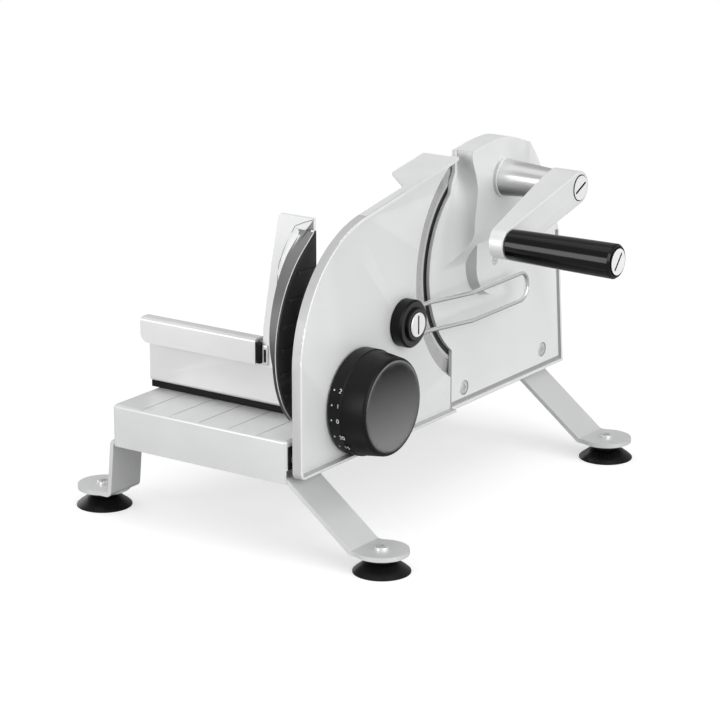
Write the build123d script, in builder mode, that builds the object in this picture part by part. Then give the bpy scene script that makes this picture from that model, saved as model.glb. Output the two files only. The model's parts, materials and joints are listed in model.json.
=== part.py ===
"""Hand-cranked bread slicer with a round blade, a sliding carriage and a thickness dial.

Millimetres.  +X is the output side (dial, crank and slices), +Y is the way the loaf is pushed,
+Z is up.  The origin is on the kitchen table under the middle of the machine.
"""

import os
from math import acos, atan2, cos, hypot, pi, radians, sin, sqrt, tan

from build123d import *

os.makedirs("parts", exist_ok=True)

# ---------------------------------------------------------------- driving dimensions
RUN = 0.05            # radial clearance of a running fit
GAP = 0.3             # clearance between surfaces that only pass each other

# feet
FOOT_XS = (-153.0, 76.0)          # cup centres, left and right
FOOT_YS = (-149.0, 135.0)         # cup centres, front and rear
CUP_R = 19.0
CUP_H = 12.2
STRAP_W = 31.0
STRAP_T = 3.0
FOOT_SCREW_R = 2.5

# loaf table
TABLE_X = (-130.0, 13.0)
TABLE_Y = (-166.0, 152.0)
TABLE_TOP = 79.5
TABLE_BOTTOM = 50.5
SHEET = 1.2
HEM = 14.0
GROOVE_XS = (-105.3, -81.6, -57.7, -33.9, -10.2)
STRAP_TOP = TABLE_BOTTOM + SHEET + STRAP_T
WINDOW_H = (6.4, 8.9)             # leg windows in the left and right side
LEG_SCREW_R = 2.0

# blade and its axis
BLADE_Y, BLADE_Z = 61.5, 154.0
BLADE_R = 85.0
BLADE_GAP = 2.0                   # between the blade's edge and the stop plate
BLADE_X = 14.5                    # cutting plane
BLADE_T = 1.2
HUB_SCREW_PITCH_R = 15.0
HUB_SCREW_R = 1.5
HUB_SCREW_HEAD_R = 2.4
HUB_EDGE = 1.5                    # metal either side of a hub screw
HUB_R = HUB_SCREW_PITCH_R + HUB_SCREW_R + HUB_EDGE
HUB_BACK = 17.3                   # rear face of the hub's flange
BLADE_BORE_R = HUB_SCREW_PITCH_R - HUB_SCREW_R - HUB_EDGE
AXLE_R = 4.0

# crank axis and gear train
CRANK_Y, CRANK_Z = 64.5, 212.6
MODULE = 1.5
TEETH_CRANK, TEETH_IDLER, TEETH_PINION = 32, 16, 16
GEAR_X = (18.9, 23.9)
SHAFT_R = 5.0
CRANK_THROW_Y, CRANK_THROW_Z = -88.0, -21.3
ARM_X = 91.4                      # outer face of the crank arm
GRIP_END_X = 172.0

# frame casting
PANEL_X = (16.2, 18.7)
PANEL_BOTTOM = 54.5
HOUSING_X = 31.0
HOUSING_BOTTOM = 150.0            # where the housing runs out into the panel
HOUSING_FULL = 184.0              # from here up it has its full depth
HOUSING_TOP = 242.0
LAND_R = 70.5                     # leading edge that the blade ring shows beside
CASE_X = 26.5
COVER_X = (17.7, 18.7)

# stop plate
PLATE_X = 17.0                    # stop face
PLATE_T = 2.0
RIM_X = 24.0
RIM_T = 2.2
PLATE_FRONT, PLATE_REAR = -164.0, 18.0
PLATE_BOTTOM = 54.0
PLATE_ARC_R = BLADE_R + BLADE_GAP
PLATE_FRONT_R = 90.0
PLATE_SLOPE = 10.1                # degrees, of the top edge
PLATE_LIP = 3.2                   # height of the top edge over the blade's recess
ROD_R = 4.0
ROD_YS = (-156.5, 2.0)
ROD_Z = 66.0
GUIDE_HALF = 6.5
GUIDE_H = 14.0
GUIDE_RISE = 1.5                  # middle of a guide block over its rod
GUIDE_LEN = 50.0
GUIDE_FLANGE = 0.8

# thickness dial
DIAL_Y, DIAL_Z = -94.6, 90.6
DIAL_R = 35.6
DIAL_FRONT = 47.7
DIAL_LEAD = 22.5
DRUM_R = 16.0
SPIGOT_R = 6.0
DIAL_WALL = 6.0                   # from the rim to the inside of the dial's skirt
DISH = 1.5                        # depth of the dial's hollow face
FACE_ROUND = 2.7                  # rounding between the dial's skirt and face
SKIRT_LEAN = radians(7.2)         # taper of the dial's skirt
DIAL_RANGE = (-40.0, 280.0)       # degrees
TRACK_SPARE = 7.0                 # degrees of track beyond each end of the range
POST_R = 5.0
POST_Z = DIAL_Z - (DIAL_R - DIAL_WALL - POST_R)
PIN_X = 39.4
TRACK_DEEP = DRUM_R - 1.1         # radius that the pin's tip reaches
PIN_R = 1.6

# slice bow
BOW_Y, BOW_Z = -40.5, 131.2
BOW_KNOB_R = 16.3
BOW_ROD_R = 1.5
BOW_HALF = 9.8

# frame details
TUBE_END = 69.5
BUSH_R = 7.0
FRAME_SCREWS = ((35.9, 66.6), (139.4, 69.8))
FRAME_SCREW_R = 2.5
FRAME_HEAD_R = 4.8
COVER_SCREWS = ((43.3, 143.5), (79.7, 143.5), (38.5, 194.0), (91.0, 194.0))

# carriage
WALL_Y = -120.0
WALL_X = (-134.3, 7.0)
WALL_BOTTOM = 84.3
WALL_TOP = 131.0
FLANGE_Y = -129.6
FLANGE_END = -38.0
LEFT_LIP_X = (-131.5, -130.3)
SIDE_LIP_X = (13.3, 14.1)
FLOOR_LEN = 120.0
FLOOR_T = 1.2
RUNNER_GAP = 0.2


# idler axis: the third corner of the triangle set by the gear sizes
R_CRANK, R_IDLER, R_PINION = (MODULE * n / 2 for n in (TEETH_CRANK, TEETH_IDLER, TEETH_PINION))
_dy, _dz = BLADE_Y - CRANK_Y, BLADE_Z - CRANK_Z
_base = hypot(_dy, _dz)
_along = ((R_CRANK + R_IDLER) ** 2 - (R_IDLER + R_PINION) ** 2 + _base ** 2) / (2 * _base)
_off = sqrt((R_CRANK + R_IDLER) ** 2 - _along ** 2)
IDLER_Y = CRANK_Y + (_along * _dy - _off * _dz) / _base
IDLER_Z = CRANK_Z + (_along * _dz + _off * _dy) / _base


def at_x(x):
    """Sketch plane across X: local coordinates are (y, z)."""
    return Plane(origin=(x, 0, 0), x_dir=(0, 1, 0), z_dir=(1, 0, 0))


def at_y(y):
    """Sketch plane across Y: local coordinates are (x, z)."""
    return Plane(origin=(0, y, 0), x_dir=(1, 0, 0), z_dir=(0, -1, 0))


def rod_x(y, z, x0, x1, r, mode=Mode.ADD):
    """Cylinder along X between two stations, inside the open part."""
    with BuildSketch(at_x(x0)) as disc:
        with Locations((y, z)):
            Circle(r)
    extrude(disc.sketch, amount=x1 - x0, mode=mode)


def save(block, label):
    """Label the finished piece and write its STEP file."""
    block.part.label = label
    export_step(block.part, f"parts/{label}.step")


def hull_face(y0, z0, r0, y1, z1, r1):
    """Two discs joined by their outer tangents, in the open sketch."""
    base = atan2(z1 - z0, y1 - y0)
    half = acos((r0 - r1) / hypot(y1 - y0, z1 - z0))
    corners = []
    for a in (base + half, base - half):
        corners.append(((y0 + r0 * cos(a), z0 + r0 * sin(a)), (y1 + r1 * cos(a), z1 + r1 * sin(a))))
    with Locations((y0, z0)):
        Circle(r0)
    with Locations((y1, z1)):
        Circle(r1)
    with BuildLine() as bridge:
        Polyline(corners[0][0], corners[0][1], corners[1][1], corners[1][0], close=True)
    make_face(bridge.edges())


def circle_y(z, r, side=-1):
    """Y where the circle of radius r about the blade axis meets height z."""
    return BLADE_Y + side * sqrt(r * r - (z - BLADE_Z) ** 2)


# ---------------------------------------------------------------- loaf table
with BuildPart() as table:
    with BuildSketch(Plane.XY.offset(TABLE_BOTTOM)) as outline:
        with Locations(((TABLE_X[0] + TABLE_X[1]) / 2, (TABLE_Y[0] + TABLE_Y[1]) / 2)):
            RectangleRounded(TABLE_X[1] - TABLE_X[0], TABLE_Y[1] - TABLE_Y[0], 2.5)
    extrude(amount=TABLE_TOP - TABLE_BOTTOM)
    fillet(table.edges().filter_by(Axis.Z, reverse=True).group_by(Axis.Z)[-1], 2)
    # hollow under the folded sheet, with a turned-in hem along the lower edge
    with BuildSketch(Plane.XY.offset(TABLE_BOTTOM + SHEET)):
        with Locations(((TABLE_X[0] + TABLE_X[1]) / 2, (TABLE_Y[0] + TABLE_Y[1]) / 2)):
            Rectangle(TABLE_X[1] - TABLE_X[0] - 2 * SHEET, TABLE_Y[1] - TABLE_Y[0] - 2 * SHEET)
    extrude(amount=TABLE_TOP - TABLE_BOTTOM - 2 * SHEET, mode=Mode.SUBTRACT)
    with BuildSketch(Plane.XY.offset(TABLE_BOTTOM)):
        with Locations(((TABLE_X[0] + TABLE_X[1]) / 2, (TABLE_Y[0] + TABLE_Y[1]) / 2)):
            Rectangle(TABLE_X[1] - TABLE_X[0] - 2 * HEM, TABLE_Y[1] - TABLE_Y[0] - 2 * HEM)
    extrude(amount=SHEET, mode=Mode.SUBTRACT)
    # shallow flutes pressed into the top so the loaf does not stick
    with BuildSketch(Plane.XY.offset(TABLE_TOP)):
        for gx in GROOVE_XS:
            with Locations((gx, (TABLE_Y[0] + TABLE_Y[1]) / 2)):
                Rectangle(1.2, TABLE_Y[1] - TABLE_Y[0])
    extrude(amount=-0.4, mode=Mode.SUBTRACT)
    # windows in both sides where the leg straps come out, taller on the output side
    for side, height in zip(TABLE_X, WINDOW_H):
        for fy in FOOT_YS:
            with BuildSketch(at_y(fy - STRAP_W / 2 - GAP)):
                with Locations((side, TABLE_BOTTOM + height / 2)):
                    Rectangle(2 * HEM, height)
            extrude(amount=-(STRAP_W + 2 * GAP), mode=Mode.SUBTRACT)
    # the hem pads that the straps lie on
    for fy in FOOT_YS:
        with BuildSketch(Plane.XY.offset(TABLE_BOTTOM)):
            for hx in (TABLE_X[0] + SHEET + 2 + (HEM - SHEET - 2) / 2, TABLE_X[1] - SHEET - 2 - (HEM - SHEET - 2) / 2):
                with Locations((hx, fy)):
                    Rectangle(HEM - SHEET - 2, STRAP_W + 2 * GAP)
        extrude(amount=SHEET)
        with BuildSketch(Plane.XY.offset(TABLE_BOTTOM)):
            for hx in (TABLE_X[0] + 9, TABLE_X[1] - 9):
                with Locations((hx, fy - 9), (hx, fy + 9)):
                    Circle(LEG_SCREW_R)
        extrude(amount=SHEET, mode=Mode.SUBTRACT)
    # right side: holes for the rod guides, the cam post and two frame screws
    with BuildSketch(at_x(TABLE_X[1] - SHEET)):
        with Locations(*[(ry, ROD_Z + GUIDE_RISE) for ry in ROD_YS]):
            Rectangle(2 * GUIDE_HALF, GUIDE_H)
        with Locations((DIAL_Y, POST_Z)):
            Circle(POST_R)
        with Locations(*FRAME_SCREWS):
            Circle(FRAME_SCREW_R)
    extrude(amount=SHEET, mode=Mode.SUBTRACT)
save(table, "table")

# ---------------------------------------------------------------- leg straps and feet


def leg_strap(fy):
    """One flat bar: foot tab, splayed leg, run across under the table, leg and foot tab again."""
    zt = CUP_H + STRAP_T / 2
    zs = STRAP_TOP - STRAP_T / 2
    left, right = FOOT_XS
    with BuildPart() as bar:
        with BuildSketch(at_y(fy - STRAP_W / 2)):
            with BuildLine():
                FilletPolyline(
                    (left, zt), (left + 17.2, zt), (TABLE_X[0] - 2.2, zs), (TABLE_X[1] - 1.8, zs),
                    (right - 13.8, zt), (right, zt), radius=3.2,
                )
            trace(line_width=STRAP_T)
        extrude(amount=-STRAP_W)
        with BuildSketch(Plane.XY.offset(CUP_H)):
            with Locations((left, fy), (right, fy)):
                Circle(18)
        extrude(amount=STRAP_T)
        with BuildSketch(Plane.XY.offset(CUP_H)):
            with Locations((left, fy), (right, fy)):
                Circle(FOOT_SCREW_R)
            for hx in (TABLE_X[0] + 9, TABLE_X[1] - 9):
                with Locations((hx, fy - 9), (hx, fy + 9)):
                    Circle(LEG_SCREW_R)
        extrude(amount=STRAP_TOP - CUP_H, mode=Mode.SUBTRACT)
    return bar


front_legs = leg_strap(FOOT_YS[0])
save(front_legs, "front_leg_strap")
rear_legs = leg_strap(FOOT_YS[1])
save(rear_legs, "rear_leg_strap")

with BuildPart() as cup:
    with BuildSketch(Plane.XZ):
        with BuildLine():
            Polyline((0, CUP_H), (10.5, CUP_H), (10.5, 9.6), (8.6, 9.0), (8.6, 7.6), (11.5, 6.6), (17.2, 2.4),
                     (CUP_R, 0.8), (CUP_R, 0), (17.6, 0), (9.5, 2.6), (0, 3.6), close=True)
        make_face()
    revolve(axis=Axis.Z)
    with BuildSketch(Plane.XY.offset(5.6)):
        Circle(FOOT_SCREW_R)
    extrude(amount=CUP_H - 5.6, mode=Mode.SUBTRACT)

with BuildPart() as foot_screw:
    with BuildSketch(Plane.XY.offset(5.6)):
        Circle(FOOT_SCREW_R)
    extrude(amount=CUP_H + STRAP_T - 5.6)
    with BuildSketch(Plane.XY.offset(CUP_H + STRAP_T)):
        Circle(4.8)
    extrude(amount=1.9)
    fillet(foot_screw.edges().group_by(Axis.Z)[-1], 0.9)
    with BuildSketch(Plane.XY.offset(CUP_H + STRAP_T + 1.9)):
        Rectangle(5.4, 1.1)
        Rectangle(1.1, 5.4)
    extrude(amount=-1.1, mode=Mode.SUBTRACT)

with BuildPart() as cups:
    with Locations(*[(x, y, 0) for x in FOOT_XS for y in FOOT_YS]):
        add(cup.part)
save(cups, "suction_cups")

with BuildPart() as foot_screws:
    with Locations(*[(x, y, 0) for x in FOOT_XS for y in FOOT_YS]):
        add(foot_screw.part)
save(foot_screws, "foot_screws")

with BuildPart() as leg_screw:
    with BuildSketch(Plane.XY.offset(TABLE_BOTTOM - 2)):
        Circle(3.8)
    extrude(amount=2)
    with BuildSketch(Plane.XY.offset(TABLE_BOTTOM)):
        Circle(LEG_SCREW_R)
    extrude(amount=SHEET + STRAP_T + 1)
    fillet(leg_screw.edges().group_by(Axis.Z)[0], 0.8)

with BuildPart() as leg_screws:
    with Locations(*[(x, y + s, 0) for x in (TABLE_X[0] + 9, TABLE_X[1] - 9) for y in FOOT_YS for s in (-9, 9)]):
        add(leg_screw.part)
save(leg_screws, "leg_screws")

# ---------------------------------------------------------------- frame casting
# corners and curve points of the frame as (y, z)
PANEL_FRONT, PANEL_REAR = 19.5, 168.4
LAND_TOP_Y = 16.0
NOSE = ((18.0, 216.0), (21.5, 222.0), (21.5, 237.0))
TOP_LINE = [NOSE[-1], (29.4, 238.0), (41.0, 239.6), (53.4, 240.7), (65.0, 240.6), (74.0, 238.9), (85.0, 235.7),
            (94.0, 232.5)]
REAR_LINE = [(118.0, 226.4), (124.0, 219.5), (132.3, 207.8), (142.0, 191.0), (151.0, 174.0), (159.7, 155.3)]
LAND_TOP = BLADE_Z + sqrt(LAND_R ** 2 - (BLADE_Y - LAND_TOP_Y) ** 2)
LAND_LOW = BLADE_Z - sqrt(LAND_R ** 2 - (BLADE_Y - PANEL_FRONT) ** 2)
# slices of the ramp: height, and where the slope meets the housing's flat face
RAMP_SLICES = ((148.0, 28.0), (161.0, 28.0), (174.0, 28.0), (187.0, 28.0), (200.0, 30.0), (214.0, 30.5),
               (HOUSING_TOP, 30.5))
LIP_W = 2.0                       # lip round the panel's bottom and rear edges
CHANNEL_W = 3.3                   # channel inside the lip
CHANNEL_D = 1.2


def frame_outline():
    """Outline of the frame seen from the output side, in the open sketch."""
    with BuildLine() as edge:
        Polyline((PANEL_REAR, PANEL_BOTTOM), (PANEL_FRONT, PANEL_BOTTOM), (PANEL_FRONT, LAND_LOW))
        ThreePointArc((PANEL_FRONT, LAND_LOW), (BLADE_Y - LAND_R, BLADE_Z), (LAND_TOP_Y, LAND_TOP))
        Polyline((LAND_TOP_Y, LAND_TOP), *NOSE)
        Spline(*TOP_LINE)
        Line(TOP_LINE[-1], REAR_LINE[0])
        Spline(*REAR_LINE)
        Line(REAR_LINE[-1], (PANEL_REAR, PANEL_BOTTOM))
    make_face(edge.edges())


def lead_edge(z):
    """Y of the frame's leading edge at height z."""
    if z < LAND_TOP:
        return circle_y(z, LAND_R)
    return NOSE[0][0] if z < NOSE[1][1] else NOSE[1][0]


def edge_band(inner, outer):
    """Band along the panel's bottom and straight rear edge between two distances from the edge."""
    (ya, za), (yb, zb) = (PANEL_REAR, PANEL_BOTTOM), REAR_LINE[-1]
    lean = (yb - ya) / (zb - za)
    with BuildLine() as line:
        Polyline((PANEL_FRONT, PANEL_BOTTOM + inner), (ya - inner + lean * inner, PANEL_BOTTOM + inner),
                 (yb - inner, zb), (yb - outer, zb), (ya - outer + lean * outer, PANEL_BOTTOM + outer),
                 (PANEL_FRONT, PANEL_BOTTOM + outer), close=True)
    make_face(line.edges())


with BuildPart() as frame:
    # flat panel
    with BuildSketch(at_x(PANEL_X[0])):
        frame_outline()
    extrude(amount=PANEL_X[1] - PANEL_X[0])
    # upper housing with the slice ramp on its leading side
    with BuildPart(mode=Mode.PRIVATE) as ramp:
        for z, crease_y in RAMP_SLICES:
            start = (PANEL_X[0] + 0.8, lead_edge(z) - 0.5)
            with BuildSketch(Plane.XY.offset(z)):
                with BuildLine():
                    Spline(start, (HOUSING_X, crease_y), tangents=[(0.12, 1), (1.0, 0.55)])
                    Polyline((HOUSING_X, crease_y), (HOUSING_X, CRANK_Y), (PANEL_X[0], CRANK_Y),
                             (PANEL_X[0], start[1]), start)
                make_face()
        loft()
    with BuildPart(mode=Mode.PRIVATE) as box:
        with BuildSketch(Plane.XY.offset(HOUSING_BOTTOM)):
            with BuildLine():
                Polyline((PANEL_X[0], 50), (HOUSING_X, 50), (HOUSING_X, TOP_LINE[-1][0]),
                         (PANEL_X[1], REAR_LINE[0][0] - 1), (PANEL_X[0], REAR_LINE[0][0] - 1), close=True)
            make_face()
        extrude(amount=HOUSING_TOP - HOUSING_BOTTOM)
        add(ramp.part)
        with BuildSketch(at_x(PANEL_X[0])):
            frame_outline()
        extrude(amount=HOUSING_X - PANEL_X[0] + 5, mode=Mode.INTERSECT)
        # the underside sweeps back into the panel
        with BuildSketch(at_y(BLADE_Y - BLADE_R)):
            with BuildLine():
                Spline((PANEL_X[1] - 0.6, HOUSING_BOTTOM), (HOUSING_X + 0.2, HOUSING_FULL), tangents=[(0, 1), (0, 1)])
                Polyline((HOUSING_X + 0.2, HOUSING_FULL), (HOUSING_X + 9, HOUSING_FULL),
                         (HOUSING_X + 9, HOUSING_BOTTOM - 9), (PANEL_X[1] - 0.6, HOUSING_BOTTOM - 9),
                         (PANEL_X[1] - 0.6, HOUSING_BOTTOM))
            make_face()
        extrude(amount=-2 * BLADE_R, mode=Mode.SUBTRACT)
    add(box.part)
    # gear case that runs down to the blade axis
    with BuildSketch(at_x(PANEL_X[1])):
        hull_face(BLADE_Y, BLADE_Z, 25.5, CRANK_Y, CRANK_Z - 16, 27)
    extrude(amount=CASE_X - PANEL_X[1], taper=12)
    # foot that stands against the table side below the blade
    with BuildSketch(at_x(TABLE_X[1])):
        with BuildLine():
            Polyline((PANEL_FRONT + 4.5, PANEL_BOTTOM + 0.5), (PANEL_REAR - 4.5, PANEL_BOTTOM + 0.5),
                     (PANEL_REAR - 4.5, PANEL_BOTTOM + 12.5), (PANEL_FRONT + 4.5, PANEL_BOTTOM + 12.5), close=True)
        make_face()
        with Locations(*FRAME_SCREWS):
            Circle(FRAME_HEAD_R + 0.8)
    extrude(amount=PANEL_X[0] - TABLE_X[1])
    # crank bearing tube
    with BuildSketch(at_x(HOUSING_X)):
        with Locations((CRANK_Y, CRANK_Z)):
            Circle(14.3)
    extrude(amount=2.2)
    with BuildSketch(at_x(HOUSING_X)):
        with Locations((CRANK_Y, CRANK_Z)):
            Circle(12.9)
    extrude(amount=TUBE_END - HOUSING_X, taper=4.2)
    # inside: cover rebate, gear room, bearing bore and screw holes
    with BuildSketch(at_x(PANEL_X[0])):
        hull_face(BLADE_Y, BLADE_Z, 24.5, CRANK_Y, CRANK_Z, 26.2)
        with Locations(*COVER_SCREWS[2:]):
            Circle(5.5)
    extrude(amount=COVER_X[1] - PANEL_X[0], mode=Mode.SUBTRACT)
    with BuildSketch(at_x(COVER_X[1])):
        hull_face(BLADE_Y, BLADE_Z, 16.5, CRANK_Y, CRANK_Z, 26.2)
    extrude(amount=24.5 - COVER_X[1], mode=Mode.SUBTRACT)
    with BuildSketch(at_x(24.5)):
        with Locations((63, 208)):
            Rectangle(50, 42)
        with Locations((CRANK_Y, CRANK_Z)):
            Circle(15, mode=Mode.SUBTRACT)
    extrude(amount=3.7, mode=Mode.SUBTRACT)
    rod_x(CRANK_Y, CRANK_Z, 24, TUBE_END + 1, BUSH_R, Mode.SUBTRACT)
    rod_x(BLADE_Y, BLADE_Z, 24, CASE_X + 1, AXLE_R, Mode.SUBTRACT)
    rod_x(IDLER_Y, IDLER_Z, 24, 29, 3.0, Mode.SUBTRACT)
    for y, z in COVER_SCREWS:
        rod_x(y, z, COVER_X[1], 22.7, 1.5, Mode.SUBTRACT)
    for y, z in FRAME_SCREWS:
        rod_x(y, z, TABLE_X[1], PANEL_X[1], FRAME_SCREW_R, Mode.SUBTRACT)
        rod_x(y, z, PANEL_X[1] - 0.5, PANEL_X[1], FRAME_HEAD_R + 0.5, Mode.SUBTRACT)
        with BuildSketch(at_x(PANEL_X[1] - 0.5)):
            with Locations((y, z)):
                Circle(FRAME_HEAD_R + 0.1)
        extrude(amount=-(FRAME_HEAD_R - FRAME_SCREW_R + 0.1), taper=45, mode=Mode.SUBTRACT)
    # lip along the bottom and the rear, with a channel inside it
    with BuildSketch(at_x(PANEL_X[1])):
        edge_band(0, LIP_W)
    extrude(amount=0.5)
    with BuildSketch(at_x(PANEL_X[1])):
        edge_band(LIP_W, LIP_W + CHANNEL_W)
    extrude(amount=-CHANNEL_D, mode=Mode.SUBTRACT)
save(frame, "frame")


def turned(y, z, profile):
    """Solid turned about an X-parallel axis; profile is a list of (x, radius) corners."""
    face = Plane(origin=(0, y, z), x_dir=(1, 0, 0), z_dir=(0, -1, 0))
    with BuildSketch(face) as half:
        with BuildLine() as line:
            Polyline(*profile, close=True)
        make_face(line.edges())
    return revolve(half.sketch, axis=Axis((0, y, z), (1, 0, 0)), mode=Mode.ADD)


def tooth_ring(y, z, teeth, phase):
    """Straight-flanked gear outline with its first tooth at angle phase, in the open sketch."""
    r = MODULE * teeth / 2
    pitch = 2 * pi / teeth
    steps = ((r - 1.2 * MODULE, -0.35), (r, -0.23), (r + 0.85 * MODULE, -0.11),
             (r + 0.85 * MODULE, 0.11), (r, 0.23), (r - 1.2 * MODULE, 0.35))
    pts = [(y + rr * cos(phase + (k + f) * pitch), z + rr * sin(phase + (k + f) * pitch))
           for k in range(teeth) for rr, f in steps]
    with BuildLine() as line:
        Polyline(*pts, close=True)
    make_face(line.edges())


def mesh_phase(phase, teeth, direction, other):
    """Phase of a second gear whose gap faces the first gear's tooth on the line of centres."""
    shift = ((direction - phase) / (2 * pi / teeth)) % 1.0
    return direction + pi + (shift - 0.5) * (2 * pi / other)


TO_IDLER = atan2(IDLER_Z - CRANK_Z, IDLER_Y - CRANK_Y)
TO_BLADE = atan2(BLADE_Z - IDLER_Z, BLADE_Y - IDLER_Y)
PHASE_CRANK = TO_IDLER
PHASE_IDLER = mesh_phase(PHASE_CRANK, TEETH_CRANK, TO_IDLER, TEETH_IDLER)
PHASE_PINION = mesh_phase(PHASE_IDLER, TEETH_IDLER, TO_BLADE, TEETH_PINION)

# ---------------------------------------------------------------- frame fittings
with BuildPart() as cover:
    with BuildSketch(at_x(COVER_X[0])):
        hull_face(BLADE_Y, BLADE_Z, 24.2, CRANK_Y, CRANK_Z, 25.9)
        with Locations(*COVER_SCREWS[2:]):
            Circle(5.2)
        with Locations((BLADE_Y, BLADE_Z)):
            Circle(10, mode=Mode.SUBTRACT)
        with Locations(*COVER_SCREWS):
            Circle(1.5, mode=Mode.SUBTRACT)
    extrude(amount=COVER_X[1] - COVER_X[0])
save(cover, "gear_cover")

with BuildPart() as cover_screws:
    for y, z in COVER_SCREWS:
        turned(y, z, [(16.9, 0), (16.9, 1.6), (17.2, 2.5), (COVER_X[0], 2.5), (COVER_X[0], 1.5), (22.7, 1.5), (22.7, 0)])
save(cover_screws, "cover_screws")

with BuildPart() as frame_screws:
    for y, z in FRAME_SCREWS:
        neck = PANEL_X[1] - 0.6 - (FRAME_HEAD_R - FRAME_SCREW_R)
        turned(y, z, [(7.0, 0), (7.0, FRAME_SCREW_R), (neck, FRAME_SCREW_R), (PANEL_X[1] - 0.6, FRAME_HEAD_R),
                      (PANEL_X[1] - 0.3, FRAME_HEAD_R - 0.2), (PANEL_X[1], FRAME_HEAD_R - 1.4), (PANEL_X[1], 0)])
        with BuildSketch(at_x(PANEL_X[1])):
            with Locations((y, z)):
                Rectangle(5.2, 1.1)
                Rectangle(1.1, 5.2)
        extrude(amount=-1.2, mode=Mode.SUBTRACT)
save(frame_screws, "frame_screws")

with BuildPart() as frame_nuts:
    for y, z in FRAME_SCREWS:
        with BuildSketch(at_x(TABLE_X[1] - SHEET - 4)):
            with Locations((y, z)):
                RegularPolygon(4.4, 6)
                Circle(FRAME_SCREW_R, mode=Mode.SUBTRACT)
        extrude(amount=4)
save(frame_nuts, "frame_nuts")

with BuildPart() as bushes:
    for x0, x1 in ((24.5, 36.0), (58.0, TUBE_END)):
        rod_x(CRANK_Y, CRANK_Z, x0, x1, BUSH_R)
        rod_x(CRANK_Y, CRANK_Z, x0, x1, SHAFT_R + RUN, Mode.SUBTRACT)
save(bushes, "crank_bushes")

# ---------------------------------------------------------------- blade and its hub
with BuildPart() as axle:
    turned(BLADE_Y, BLADE_Z, [(14.4, 2.5), (14.4, AXLE_R), (CASE_X, AXLE_R), (CASE_X, 0), (22.0, 0), (22.0, 2.5)])
save(axle, "blade_axle")

with BuildPart() as blade:
    turned(BLADE_Y, BLADE_Z, [(BLADE_X, BLADE_BORE_R), (BLADE_X + BLADE_T, BLADE_BORE_R),
                              (BLADE_X + BLADE_T, 76), (BLADE_X + 0.25, BLADE_R), (BLADE_X, BLADE_R)])
    # waves ground into the edge
    with BuildSketch(at_x(BLADE_X - 0.2)):
        with Locations((BLADE_Y, BLADE_Z)):
            with PolarLocations(BLADE_R + 3.3, 60):
                Circle(4.1)
    extrude(amount=BLADE_T + 0.4, mode=Mode.SUBTRACT)
    with BuildSketch(at_x(BLADE_X - 0.2)):
        with Locations((BLADE_Y, BLADE_Z)):
            with PolarLocations(HUB_SCREW_PITCH_R, 3, start_angle=30):
                Circle(HUB_SCREW_R)
    extrude(amount=BLADE_T + 0.4, mode=Mode.SUBTRACT)
    with BuildSketch(at_x(BLADE_X)):
        with Locations((BLADE_Y, BLADE_Z)):
            with PolarLocations(HUB_SCREW_PITCH_R, 3, start_angle=30):
                Circle(HUB_SCREW_HEAD_R + 0.2)
    extrude(amount=1.1, taper=45, mode=Mode.SUBTRACT)
save(blade, "blade")

with BuildPart() as hub:
    turned(BLADE_Y, BLADE_Z, [(14.6, AXLE_R + RUN), (14.6, BLADE_BORE_R), (BLADE_X + BLADE_T, BLADE_BORE_R),
                              (BLADE_X + BLADE_T, HUB_R), (HUB_BACK, HUB_R), (HUB_BACK, 8.8),
                              (GEAR_X[0], 8.8), (GEAR_X[0], AXLE_R + RUN)])
    with BuildSketch(at_x(GEAR_X[0])):
        tooth_ring(BLADE_Y, BLADE_Z, TEETH_PINION, PHASE_PINION)
        with Locations((BLADE_Y, BLADE_Z)):
            Circle(AXLE_R + RUN, mode=Mode.SUBTRACT)
    extrude(amount=GEAR_X[1] - GEAR_X[0])
    with BuildSketch(at_x(BLADE_X + BLADE_T)):
        with Locations((BLADE_Y, BLADE_Z)):
            with PolarLocations(HUB_SCREW_PITCH_R, 3, start_angle=30):
                Circle(HUB_SCREW_R)
    extrude(amount=HUB_BACK - BLADE_X - BLADE_T, mode=Mode.SUBTRACT)
save(hub, "blade_hub")

with BuildPart() as hub_screws:
    for k in range(3):
        a = radians(30 + 120 * k)
        turned(BLADE_Y + HUB_SCREW_PITCH_R * cos(a), BLADE_Z + HUB_SCREW_PITCH_R * sin(a),
               [(14.6, 0), (14.6, HUB_SCREW_HEAD_R), (15.5, HUB_SCREW_R), (HUB_BACK, HUB_SCREW_R), (HUB_BACK, 0)])
save(hub_screws, "hub_screws")

with BuildPart() as blade_screw:
    turned(BLADE_Y, BLADE_Z, [(12.9, 0), (12.9, 7.2), (13.4, 8.0), (14.4, 8.0), (14.4, 2.5), (22.0, 2.5), (22.0, 0)])
    with BuildSketch(at_x(12.9)):
        with Locations((BLADE_Y, BLADE_Z)):
            Rectangle(13, 1.4)
    extrude(amount=0.9, mode=Mode.SUBTRACT)
save(blade_screw, "blade_screw")

# ---------------------------------------------------------------- idler and crank
with BuildPart() as idler:
    with BuildSketch(at_x(GEAR_X[0])):
        tooth_ring(IDLER_Y, IDLER_Z, TEETH_IDLER, PHASE_IDLER)
        with Locations((IDLER_Y, IDLER_Z)):
            Circle(3.0 + RUN, mode=Mode.SUBTRACT)
    extrude(amount=GEAR_X[1] - GEAR_X[0])
save(idler, "idler_gear")

with BuildPart() as idler_axle:
    rod_x(IDLER_Y, IDLER_Z, 18.8, 29.0, 3.0)
save(idler_axle, "idler_axle")

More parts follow.
